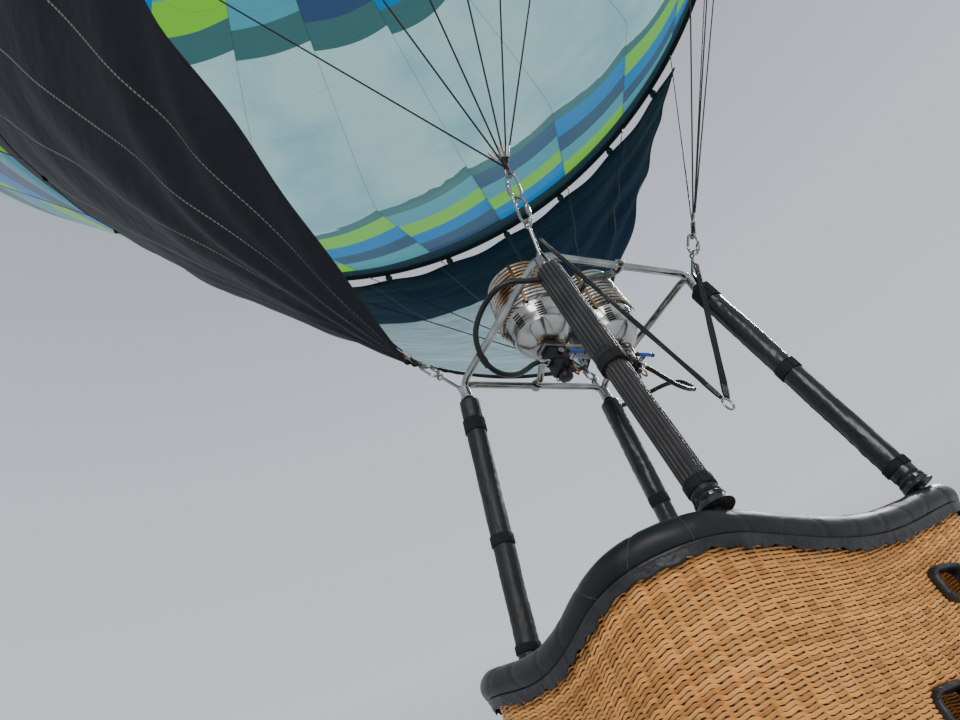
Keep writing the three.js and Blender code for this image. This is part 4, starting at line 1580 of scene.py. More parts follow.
@dataclass
class Crown:
    """Steel ring over the vent, with one tape to each load tape."""

    ring: float = 0.15
    tube: float = 0.012
    width: float = 0.05
    thick: float = 0.004
    tape_start: float = 0.2
    tape_end: float = 2.78

    def build(self, envelope: Envelope) -> None:
        """Makes the ring and the tapes that loop round it.

        Args:
            envelope: the cloth that the tapes lie on.
        """
        top = envelope.crown + SEAT
        centre = Vector((0, 0, top + self.tube))
        mould = hoop(centre, Vector((self.ring, 0, 0)), Vector((0, self.ring, 0)), self.tube, 64, 14)
        mould.piece("crown_hoop", BRIGHT_STEEL, Body.BALLOON, "stainless_steel")

        def height(radius: float) -> float:
            """Height of the cloth under a tape."""
            past = max(0.0, radius - envelope.vent_radius)
            return envelope.dome_z(min(radius, envelope.vent_radius)) + past * envelope.fall + 2 * SEAT

        long = self.tape_end - self.tape_start
        reach = [self.tape_start + long * i / 24 for i in range(25)]
        line = [(r, height(r) + self.thick) for r in reversed(reach)]
        line += [(0.172, top + 0.02), (0.161, top + 0.027), (0.15, top + 0.0295), (0.137, top + 0.024)]
        line += [(0.133, top + 0.013), (0.137, top + 0.003)]

        def place(across: float, share: float) -> Vector:
            """Point of a tape.

            Args:
                across: share of its width.
                share: share of its points, from the outer end.

            Returns:
                The point.
            """
            at = share * (len(line) - 1)
            low = min(int(at + 1e-6), len(line) - 2)
            radius, z = (a + (b - a) * (at - low) for a, b in zip(line[low], line[low + 1]))
            narrow = 0.55 + 0.45 * min(1.0, max(0.0, radius - 0.15) / 0.45)
            return Vector((radius, (across - 0.5) * self.width * narrow, z))

        tapes = Mould().put(cloth(4, len(line) - 1, place), *turns_of(GORES, FIRST_SEAM))
        made = tapes.piece("crown_tapes", WEB, Body.BALLOON, "load_tape", ("crown_ring",))
        thicken(made, self.thick, 0.0)


@dataclass
class Skirt:
    """Three-sided skirt under the mouth hem, tied to the far corners, with its clips and the hem."""

    first: float = -4.0
    last: float = 197.0
    thick: float = 0.003
    gap: float = 0.085
    billow: float = 0.07
    sag: float = 0.04
    tie_out: float = 0.136
    tie_up: float = 0.285
    hem_width: float = 0.022
    hem_height: float = 0.04
    clip_first: float = 2.1
    clip_every: float = 13.36
    clip_last: float = 190.0
    edge_start: float = 0.24
    edge_share: float = 0.48
    inset: float = 0.016
    strap_in: float = 0.014
    droop: float = 0.03
    edging_radius: float = 0.007
    columns: int = 240
    rows: int = 90

    def corner(self, side: int) -> Vector:
        """Tie of the skirt at one side."""
        out = Vector((side * (FRAME_X + self.tie_out), FRAME_Y + self.tie_out, self.tie_up))
        return out + Vector((0, 0, FRAME_Z))

    def place(self, across: float, up: float) -> Vector:
        """Point of the cloth, folds included.

        Args:
            across: share of the way round.
            up: share of the way from the lower hem.

        Returns:
            The point.
        """
        angle = math.radians(self.first + (self.last - self.first) * across)
        out = Vector((math.cos(angle), math.sin(angle), 0))
        top = out * (MOUTH_RADIUS - self.inset) + Vector((0, 0, HEM_BOTTOM - self.gap))
        share = min(1.0, max(0.0, (across - self.edge_start) / self.edge_share))
        share = share * share * (3 - 2 * share)
        low = self.corner(1).lerp(self.corner(-1), share)
        low += Vector((0, self.sag, -self.sag)) * math.sin(math.pi * share)
        full = self.billow * math.sin(math.pi * up) * (0.4 + 0.6 * math.sin(math.pi * across))
        clips = (angle - math.radians(self.clip_first)) / math.radians(self.clip_every)
        droop = self.droop * math.sin(math.pi * clips) ** 2 * max(0.0, (up - 0.86) / 0.14)
        at = low.lerp(top, up) + out * (full + self.folds(across, up))
        return at - Vector((0, 0, droop))

    def folds(self, across: float, up: float) -> float:
        """Depth of the folds: gathers over the ties, long ones over the panel, slack on the wings.

        Args:
            across: share of the way round.
            up: share of the way up.

        Returns:
            The depth in metres.
        """
        wing = min(1.0, abs(across - 0.48) / 0.3)
        gather = math.exp(-(((across - 0.3) / 0.07) ** 2)) + math.exp(-(((across - 0.66) / 0.07) ** 2))
        ripple = math.sin(across * 260 + 5 * noise.noise((across * 9, up * 3, 2.0)))
        depth = 0.009 * gather * ripple * (1 - up) ** 1.5
        level = math.sin(up * 46 + 4.5 * noise.noise((across * 6, up * 5, 7.0)) + across * 9)
        depth += 0.012 * level * max(0.0, 1 - up / 0.55) * (1 - wing) * min(1.0, up / 0.04)
        slant = math.sin((across - 0.5) * 62 * (1.3 - up) + 3 * noise.noise((across * 5, up * 4, 4.0)))
        depth += 0.02 * slant * wing * math.sin(math.pi * min(1.0, up * 1.1))
        depth += 0.03 * noise.noise((across * 14, up * 5, 9.0)) * math.sin(math.pi * up)
        return depth

    def build(self) -> None:
        """Makes the cloth, its clips, buckles and bound edge, and the mouth hem."""
        mould = cloth(self.columns, self.rows, self.place)
        area = sum(face.calc_area() for face in mould.bm.faces)
        across = max(self.edge_length(0.97), self.edge_length(0.5))
        height = max(self.side_length(share) for share in (0.02, 0.25, 0.5, 0.75, 0.98))
        finishes = (SKIRT_OUTSIDE, SKIRT_INSIDE)
        made = mould.piece("skirt_cloth", finishes, Body.BALLOON, "scoop_fabric", ("scoop",), 80)
        thicken(made, self.thick, 0.0, 1)
        clips = self.clips().piece("skirt_clips", WEB, Body.BALLOON, "strap_webbing")
        buckles = self.buckles().piece("skirt_buckles", ROD_NYLON, Body.BALLOON, "strap_webbing")
        edge = self.edging().piece("skirt_edging", WEB, Body.BALLOON, "strap_webbing")
        self.build_hem()

    def edge_length(self, up: float) -> float:
        """Length of a line across the cloth."""
        return length_of([self.place(i / 200, up) for i in range(201)])

    def side_length(self, across: float) -> float:
        """Length of a line up the cloth."""
        return length_of([self.place(across, i / 80) for i in range(81)])

    def angles(self) -> list[float]:
        """Angles of the clips."""
        count = int((self.clip_last - self.clip_first) / self.clip_every) + 1
        return [math.radians(self.clip_first + self.clip_every * i) for i in range(count)]

    def clips(self) -> Mould:
        """Makes the straps between the mouth hem and the skirt's top edge.

        Returns:
            The straps.
        """
        strap = Mould()
        low, high = HEM_BOTTOM - self.gap - 0.02, HEM_BOTTOM - SEAT
        radius = MOUTH_RADIUS - self.strap_in
        strap.put(slab((radius, 0, (low + high) / 2), (0.0022, 0.05, high - low), 0.0008))
        strap.put(slab((radius - 0.0035, 0, low + 0.02), (0.0018, 0.05, 0.055), 0.0006))
        return Mould().put(strap, *(Matrix.Rotation(a, 4, "Z") for a in self.angles()))

    def buckles(self) -> Mould:
        """Makes the black side-release clips on the straps.

        Returns:
            The clips.
        """
        clip = Mould()
        middle = HEM_BOTTOM - self.gap / 2 - 0.006
        radius = MOUTH_RADIUS - self.strap_in
        clip.put(slab((radius, 0, middle), (0.011, 0.064, 0.036), 0.003))
        clip.put(slab((radius, 0, middle - 0.028), (0.009, 0.052, 0.026), 0.003))
        clip.put(slab((radius - 0.012, 0.015, middle - 0.06), (0.0024, 0.022, 0.075), 0.0008))
        return Mould().put(clip, *(Matrix.Rotation(a, 4, "Z") for a in self.angles()))

    def edging(self) -> Mould:
        """Makes the bound edge all round the cloth.

        Returns:
            The edge.
        """
        lines = [[self.place(self.edge_start + self.edge_share * i / 160, 0) for i in range(161)]]
        lines.append([self.place(i / 240, 1) for i in range(241)])
        lines += [[self.place(across, i / 60) for i in range(61)] for across in (0, 1)]
        mould = Mould()
        for line in lines:
            mould.put(tube(line, self.edging_radius, 8))
        return mould

    def build_hem(self) -> None:
        """Makes the mouth hem, a rolled tape that sits between the wires' tops."""
        middle = MOUTH_RADIUS - self.hem_width / 2
        line = []
        for i in range(24):
            wide, high = squared(TURN * i / 24, 0.45)
            radius = middle + wide * self.hem_width / 2
            line.append((radius, HEM_BOTTOM + self.hem_height * (0.5 + high / 2)))
        mould = lathe([*line, line[0]], GORES * 10)
        made = mould.piece("mouth_hem_tape", WEB, Body.BALLOON, "load_tape", ("mouth_hem",), 60)
        soften(made, 1)


@dataclass
class Rigging:
    """Flying wires with ferrules and knots, and the oval links that join them to the frame."""

    bend: float = 0.026
    steel: float = 0.0055
    straight: float = 0.026
    sleeve_half: float = 0.018
    sleeve_radius: float = 0.0079
    first: float = 0.1542
    drop: float = 0.0113
    thimble: float = 0.0145
    thimble_width: float = 0.014
    thimble_height: float = 0.0165
    thimble_rod: float = 0.0046
    knot: float = 0.022
    wire: float = 0.0034
    top_gap: float = 0.0203
    knot_parts: tuple[tuple[float, float, float], ...] = ((-0.009, 0.026, 0.0095), (0.02, 0.034, 0.0078))
    ferrule_parts: tuple[tuple[float, float, float, float], ...] = (
        (0.042, 0.088, 0.0078, 0.0018), (0.051, 0.055, 0.0083, 0.0006), (0.075, 0.079, 0.0083, 0.0006)
    )

    @property
    def reach(self) -> float:
        """Middle of a link to the middle of its end's rod."""
        return self.bend * math.cos(math.pi / 12) + self.straight

    def build(self) -> None:
        """Makes each corner's links and wires."""
        for chain in CHAINS:
            low = self.first
            turn = 0.0
            for i in range(chain.links):
                number = f"_{i + 1}" if chain.links > 1 else ""
                self.build_link(chain, low + self.reach, turn, number)
                low += 2 * self.reach - self.drop
                turn += math.pi / 2
            self.build_wires(chain, low + self.thimble, turn)

    def build_link(self, chain: Chain, centre: float, turn: float, number: str) -> None:
        """Makes an oval link with its screw sleeve.

        Args:
            chain: corner that it is in.
            centre: place of its middle along the way.
            turn: turn about the way.
            number: end of its name, where the corner has more than one.
        """
        line = []
        for i in range(48):
            a = TURN * (i + 0.5) / 48
            side = self.straight if math.sin(a) > 0 else -self.straight
            line.append(Vector((self.bend * math.cos(a), 0, self.bend * math.sin(a) + side)))
        mould = tube(line, self.steel, 14, Ends.JOINED, up=Vector((0, 1, 0)))
        middle, half = Vector((self.bend, 0, 0)), Vector((0, 0, self.sleeve_half))
        mould.put(hex_nut(0.0098, 0.03, 0.001), Matrix.Translation(middle))
        mould.put(rod(middle - half, middle + half, self.sleeve_radius, 20, 0.0008))
        for i in range(5):
            z = self.sleeve_half + 0.001 + i * 0.0016
            mould.put(rod(Vector((self.bend, 0, z)), Vector((self.bend, 0, z + 0.0009)), 0.0062, 16))
        place = chain.hung(turn) @ Matrix.Translation((0, 0, centre))
        node = f"quick_link_{chain.label}{number}"
        name = f"oval_link_{chain.label}{number}"
        mould.piece_at(place, name, BRIGHT_STEEL, Body.BALLOON, "stainless_steel", (node,))

    def build_wires(self, chain: Chain, thimble: float, turn: float) -> None:
        """Makes a corner's wires, the knot that gathers them and their ferrules.

        Args:
            chain: corner that they are in.
            thimble: place of the thimble's middle along the way.
            turn: turn of the thimble about the way.
        """
        across, up = Vector((self.thimble_width, 0, 0)), Vector((0, 0, self.thimble_height))
        eye = hoop(Vector(), across, up, self.thimble_rod, 32, 10)
        place = chain.hung(turn) @ Matrix.Translation((0, 0, thimble))
        name = f"wire_thimble_{chain.label}"
        eye.piece_at(place, name, DULL_STEEL, Body.BALLOON, "stainless_steel")
        knot = thimble + self.knot
        dark, light = Mould(), Mould()
        for low, high, radius in self.knot_parts:
            dark.put(rod(chain.at(knot + low), chain.at(knot + high), radius, 20, 0.003))
        base = chain.at(knot)
        tops = chain.tops
        for i in range(0, len(tops), 2):
            pair = tops[i : i + 2]
            way = (sum(pair, Vector()) / len(pair) - base).normalized()
            for low, high, radius, bevel in self.ferrule_parts:
                light.put(rod(base + way * low, base + way * high, radius, 18, bevel))
        for top in tops:
            way = (top - base).normalized()
            end = top - way * (self.top_gap / way.z)
            dark.put(rod(base, end, self.wire, 10))
            light.put(rod(end - way * 0.12, end - way * 0.075, 0.0066, 14, 0.0012))
            light.put(rod(end - way * 0.075, end - way * 0.025, 0.0042, 10))
            dark.put(rod(end - way * 0.028, end, 0.0058, 12, 0.001))
        node = f"flying_wires_{chain.label}"
        dark.piece(f"wires_{chain.label}", WIRE_SLEEVE, Body.BALLOON, "wire_cable", (node,))
        light.piece(f"ferrules_{chain.label}", FERRULE, Body.BALLOON, "wire_cable")


@dataclass
class LoadFrame:
    """Square of steel tube under the wires, with its corner clamps, stems and burner pivots."""

    tube: float = 0.015
    rise: float = 0.038
    inset: float = 0.06
    knee: float = 0.018
    clamp: float = 0.024
    clamp_low: float = -0.04
    clamp_high: float = 0.022
    stem: float = 0.007
    eye_radius: float = 0.015
    eye_rod: float = 0.005
    eye_height: float = 0.15
    pivot: float = 0.024
    pivot_length: float = 0.026
    bore: float = 0.0103
    split_ring: float = 0.011

    def build(self) -> None:
        """Makes the bars, the corners and the pivots as one welded frame."""
        mould = Mould()
        for i, chain in enumerate(CHAINS):
            following = CHAINS[(i + 1) % 4].corner.foot
            mould.put(self.side_bar(chain.corner.foot, following))
            mould.put(self.clamp_block(), Matrix.Translation(chain.corner.foot))
            mould.put(self.stem_eye(), chain.hung())
        for side in (-1, 1):
            place = Matrix.Translation((0, side * FRAME_Y, PIVOT_Z)) @ Matrix.Rotation(math.pi / 2, 4, "X")
            mould.put(self.pivot_ring(), place)
        mould.piece("frame_steel", BRIGHT_STEEL, Body.BALLOON, "stainless_steel", ("load_frame",))
        self.build_fittings()

    def side_bar(self, start: Vector, end: Vector) -> Mould:
        """Makes a bar that stands above two corners and bends down into them.

        Args:
            start: one corner.
            end: the other.

        Returns:
            The bar.
        """
        way = (end - start).normalized()
        up = Vector((0, 0, self.rise))
        line = []
        for corner, sign in ((start, 1), (end, -1)):
            middle = corner + way * sign * self.knee + up
            high = corner + way * sign * self.inset + up
            shares = [i / 10 for i in range(11)]
            bend = [corner.lerp(middle, t).lerp(middle.lerp(high, t), t) for t in shares]
            line += bend[::sign]
        return tube(line, self.tube, 24, up=way.cross(Vector((0, 0, 1))))

    def clamp_block(self) -> Mould:
        """Makes a corner's clamp, with a groove near its lower end.

        Returns:
            The clamp.
        """
        r, low, high = self.clamp, self.clamp_low, self.clamp_high
        groove = r - 0.0012
        profile = [(0, low), (r - 0.002, low), (r, low + 0.002), (r, low + 0.012), (groove, low + 0.013)]
        profile += [(groove, low + 0.015), (r, low + 0.016), (r, high - 0.004), (r - 0.004, high), (0, high)]
        return lathe(profile, 40)

    def stem_eye(self) -> Mould:
        """Makes the stem that stands on a corner, with a collar and an eye for the first link.

        Returns:
            The stem.
        """
        base = self.eye_height - self.eye_radius
        profile = [(0, 0.012), (0.013, 0.014), (0.0135, 0.03), (0.0095, 0.036), (self.stem, 0.042)]
        profile += [(self.stem, base - 0.006), (0.0052, base), (0, base + 0.002)]
        mould = lathe(profile, 24)
        centre, across = Vector((0, 0, self.eye_height)), Vector((0, self.eye_radius, 0))
        return mould.put(hoop(centre, across, Vector((0, 0, self.eye_radius)), self.eye_rod))

    def pivot_ring(self) -> Mould:
        """Makes the bearing of the burner pivot.

        Returns:
            The bearing.
        """
        half, out, bore = self.pivot_length / 2, self.pivot, self.bore
        profile = [(bore, -half), (out - 0.002, -half), (out, -half + 0.002), (out, half - 0.002)]
        profile += [(out - 0.002, half), (bore, half), (bore, -half)]
        return lathe(profile, 40)

    def build_fittings(self) -> None:
        """Makes the split rings and the pins through the corners."""
        mould = Mould()
        for corner in Corner:
            foot = corner.foot
            out = Vector((corner.x, corner.y, 0)).normalized()
            pin = foot + Vector((0, 0, -0.028))
            mould.put(rod(pin + out * 0.02, pin + out * 0.03, 0.0055, 12, 0.001))
            centre = pin + out * 0.0285 - Vector((0, 0, 0.9 * self.split_ring))
            across = Vector((out.y, -out.x, 0)) * self.split_ring
            mould.put(hoop(centre, across, Vector((0, 0, self.split_ring)), 0.0013, 28, 8))
        mould.piece("frame_pins", BRIGHT_STEEL, Body.BALLOON, "stainless_steel")


@dataclass(frozen=True)
class Sleeve:
    """Sizes of one upright's padded sleeve; a cuff is a share of the length, a height and a radius."""

    radius: float
    upper: float
    split: float
    cuffs: tuple[tuple[float, float, float], ...]
    finish: Finish
    channels: int = 0


@dataclass
class Upright:
    """One padded sleeve over its rod, drawn up +Z and moved by a matrix to its place."""

    label: str
    sizes: Sleeve
    length: float
    place: Matrix
    low: float = 0.026

    def build(self) -> None:
        """Makes the padding, the piping where it is ribbed, and the cuffs."""
        self.build_padding()
        if self.sizes.channels:
            self.build_piping()
        self.build_cuffs()

    def bare(self, share: float) -> float:
        """Radius away from the cuffs."""
        return self.sizes.radius if share < self.sizes.split else self.sizes.upper

    def build_padding(self) -> None:
        """Makes the padded tube, creased, or ribbed lengthwise over most of its length."""
        high = self.length - 0.008
        steps = 110
        heights = [self.low + 0.01 + (high - self.low - 0.02) * i / steps for i in range(steps + 1)]
        bore = UPRIGHT_ROD + SEAT
        profile = [(bore, self.low), (self.sizes.radius - 0.008, self.low)]
        profile += [(self.bare(z / self.length), z) for z in heights]
        profile += [(self.sizes.upper - 0.01, high), (bore, high), (bore, self.low)]
        mould = lathe(profile, 90)
        seed = sum(map(ord, self.label)) * 0.37
        channels = self.sizes.channels

        def crease(co: Vector) -> Vector:
            """Moves a point of the sleeve's outside in and out.

            Args:
                co: the point.

            Returns:
                The new point.
            """
            radius, angle = polar_of(co)
            if radius < bore + 0.004 or not heights[0] <= co.z <= heights[-1]:
                return co
            around = (math.cos(angle) * 1.7 + seed, math.sin(angle) * 1.7, co.z * 9)
            out = 0.0022 * noise.noise(around)
            if channels and co.z > 0.08:
                out += 0.0034 * abs(math.sin(angle * channels / 2)) - 0.0016
            else:
                rings = math.sin(co.z * 150 + 5 * noise.noise((around[0], around[1], co.z * 22)))
                out += 0.0011 * rings * (0.5 + noise.noise((around[0] * 2, around[1] * 2, co.z * 14)))
                out += 0.0028 * math.exp(-(((angle - 2.2) * radius / 0.004) ** 2))
            return pushed(co, out)

        mould.moved(crease)
        facts = (f"padding_{self.label}", self.sizes.finish, Body.BALLOON, "padded_sleeve")
        made = mould.piece_at(self.place, *facts, (f"upright_sleeve_{self.label}",), 70)

    def build_piping(self) -> None:
        """Makes pale lines down the grooves between the ribs."""
        mould = Mould()
        split = self.sizes.split * self.length
        lower = (0.09, split - 0.03, self.sizes.radius)
        upper = (split + 0.045, self.length - 0.02, self.sizes.upper)
        for low, high, radius in (lower, upper):
            for i in range(self.sizes.channels):
                angle = TURN * i / self.sizes.channels
                out = Vector((math.cos(angle), math.sin(angle), 0)) * (radius - 0.0006)
                line = [out + Vector((0, 0, low + (high - low) * k / 12)) for k in range(13)]
                mould.put(tube(line, 0.0013, 6))
        mould.piece_at(self.place, f"piping_{self.label}", PIPING, Body.BALLOON, "padded_sleeve")

    def build_cuffs(self) -> None:
        """Makes the bands that close the sleeve, each with a lapped end."""
        mould = Mould()
        for share, height, cuff in self.sizes.cuffs:
            low = share * self.length
            top = min(low + height, self.length - 0.02)
            inner = self.bare(share) - 0.003
            inner_top = self.bare((top + 0.005) / self.length) - 0.003
            profile = [(inner, low), (cuff - 0.0015, low + 0.0008), (cuff, low + 0.003), (cuff, top - 0.003)]
            profile += [(cuff - 0.0015, top - 0.0008), (inner_top, top), (inner, low)]
            mould.put(lathe(profile, 72))
            lap = slab((cuff + 0.0002, 0, (low + top) / 2), (0.0022, 0.03, top - low - 0.003), 0.0009)
            mould.put(lap, Matrix.Rotation(-1.9, 4, "Z"))
        mould.piece_at(self.place, f"cuffs_{self.label}", WEB, Body.BALLOON, "padded_sleeve")


@dataclass
class Uprights:
    """Padded sleeves over the rods between the basket's rim and the burner frame."""

    foot_x: float = 0.462
    foot_y: float = 0.492

    def sleeves(self) -> dict[Corner, Sleeve]:
        """Sleeve of each corner.

        Returns:
            The sleeves' sizes by corner.
        """
        far = ((0.06, 0.03, 0.046), (0.5, 0.046, 0.045))
        return {
            Corner.NEAR_LEFT: Sleeve(
                0.037, 0.045, 0.52, ((0.05, 0.034, 0.042), (0.5, 0.04, 0.048)), SOFT_PAD, 18
            ),
            Corner.NEAR_RIGHT: Sleeve(0.04, 0.04, 0.5, (*far, (0.91, 0.08, 0.045)), COATED_PAD),
            Corner.FAR_RIGHT: Sleeve(0.04, 0.043, 0.5, far, COATED_PAD),
            Corner.FAR_LEFT: Sleeve(
                0.04, 0.04, 0.5, ((0.06, 0.03, 0.046), (0.41, 0.04, 0.045), (0.85, 0.06, 0.045)), SOFT_PAD
            ),
        }

    def build(self) -> None:
        """Makes each sleeve, its cuffs and the strapped leather boot round its foot."""
        feet = Mould()
        straps = Mould()
        buckles = Mould()
        for corner, sleeve in self.sleeves().items():
            foot = Vector((corner.x * self.foot_x, corner.y * self.foot_y, RIM_Z))
            head = corner.foot + Vector((0, 0, -0.04))
            place = turned_to(head - foot, foot)
            Upright(corner.label, sleeve, (head - foot).length, place).build()
            feet.put(self.boot(), place)
            straps.put(self.boot_straps(), place)
            buckle = slab((0.0455, 0, 0.02), (0.003, 0.012, 0.011), 0.001)
            buckles.put(buckle, *(place @ Matrix.Rotation(angle, 4, "Z") for angle in (-2.2, 0.9)))
        feet.piece("upright_feet", FLAP_LEATHER, Body.BALLOON, "rim_leather")
        straps.piece("foot_straps", WEB, Body.BALLOON, "rim_leather")
        buckles.piece("foot_buckles", DULL_STEEL, Body.BALLOON, "stainless_steel")
        for corner in Corner:
            dress(f"upright_rod_{corner.label}", ROD_NYLON)

    def boot(self) -> Mould:
        """Makes the creased leather cup that closes the foot of a sleeve, on its flat plate.

        Returns:
            The cup.
        """
        bore, cup = UPRIGHT_ROD, 0.0475
        profile = [(bore, -0.006), (0.052, -0.006), (0.0525, -0.0045), (0.0515, -0.003), (cup, -0.0025)]
        profile += [(cup - 0.0013 * i, 0.005 * i) for i in range(1, 10)]
        profile += [(0.0345, 0.0478), (0.0335, 0.0465), (0.0335, 0.006), (bore, 0.004), (bore, -0.006)]
        mould = lathe(profile, 72)

        def crumple(co: Vector) -> Vector:
            """Moves a point of the cup's outside in and out.

            Args:
                co: the point.

            Returns:
                The new point.
            """
            radius, angle = polar_of(co)
            if radius < 0.0348 or co.z < 0.002:
                return co
            out = 0.0042 * noise.noise((math.cos(angle) * 4, math.sin(angle) * 4, co.z * 60))
            return pushed(co, out)

        return mould.moved(crumple)

    def boot_straps(self) -> Mould:
        """Makes the two straps round a boot.

        Returns:
            The straps.
        """
        mould = Mould()
        for z, r in ((0.02, 0.0445), (0.037, 0.0405)):
            low, high = z - 0.005, z + 0.005
            profile = [(r - 0.003, low), (r, low), (r - 0.001, high), (r - 0.004, high)]
            mould.put(lathe([*profile, profile[0]], 48))
        return mould


@dataclass
class Wall:
    """Rounded rectangle of the basket's wall, unrolled along its middle line."""

    half_x: float = 0.735
    half_y: float = 0.498
    corner: float = 0.27
    rise: float = 0.036

    @property
    def around(self) -> float:
        """Length of the middle line."""
        return 4 * (self.half_x + self.half_y - 2 * self.corner) + TURN * self.corner

    def at(self, along_wall: float) -> tuple[float, float, float, float, float]:
        """Place on the middle line.

        Args:
            along_wall: metres round the wall, anticlockwise from +X.

        Returns:
            x, y, the way out in x and y, and the rim's lift.
        """
        quarter = self.around / 4
        index = math.floor(along_wall / quarter + 1e-9) % 4
        s = (along_wall / quarter + 1e-9) % 1 * quarter
        s = quarter - s if index % 2 else s
        side = self.half_y - self.corner
        if s < side:
            x, y, nx, ny = self.half_x, s, 1.0, 0.0
        else:
            angle = min((s - side) / self.corner, math.pi / 2)
            nx, ny = math.cos(angle), math.sin(angle)
            past = max(0.0, s - side - self.corner * math.pi / 2)
            x = self.half_x - self.corner + self.corner * nx - past
            y = side + self.corner * ny
        sign_x = -1 if index in (1, 2) else 1
        sign_y = -1 if index in (2, 3) else 1
        shrink = self.corner * (1 - math.sqrt(0.5))
        away = max(1 - abs(x) / (self.half_x - shrink), 1 - abs(y) / (self.half_y - shrink), 0.0)
        lift = self.rise * math.cos(min(1.0, away) * math.pi)
        return sign_x * x, sign_y * y, sign_x * nx, sign_y * ny, lift

    def bend(self, mould: Mould, height: Callable[[float, float], float]) -> Mould:
        """Bends a mesh drawn on the unrolled wall round it, and closes it.

        Args:
            mould: mesh with metres round the wall, out of it and up as its axes.
            height: rule from the drawn height and the rim's lift to the real height.

        Returns:
            The same mesh.
        """

        def move(co: Vector) -> Vector:
            """Place on the wall of a point of the drawing."""
            x, y, nx, ny, lift = self.at(co.x)
            return Vector((x + nx * co.y, y + ny * co.y, height(co.z, lift)))

        mould.moved(move)
        bmesh.ops.reverse_faces(mould.bm, faces=mould.bm.faces)
        return mould


WALL = Wall()


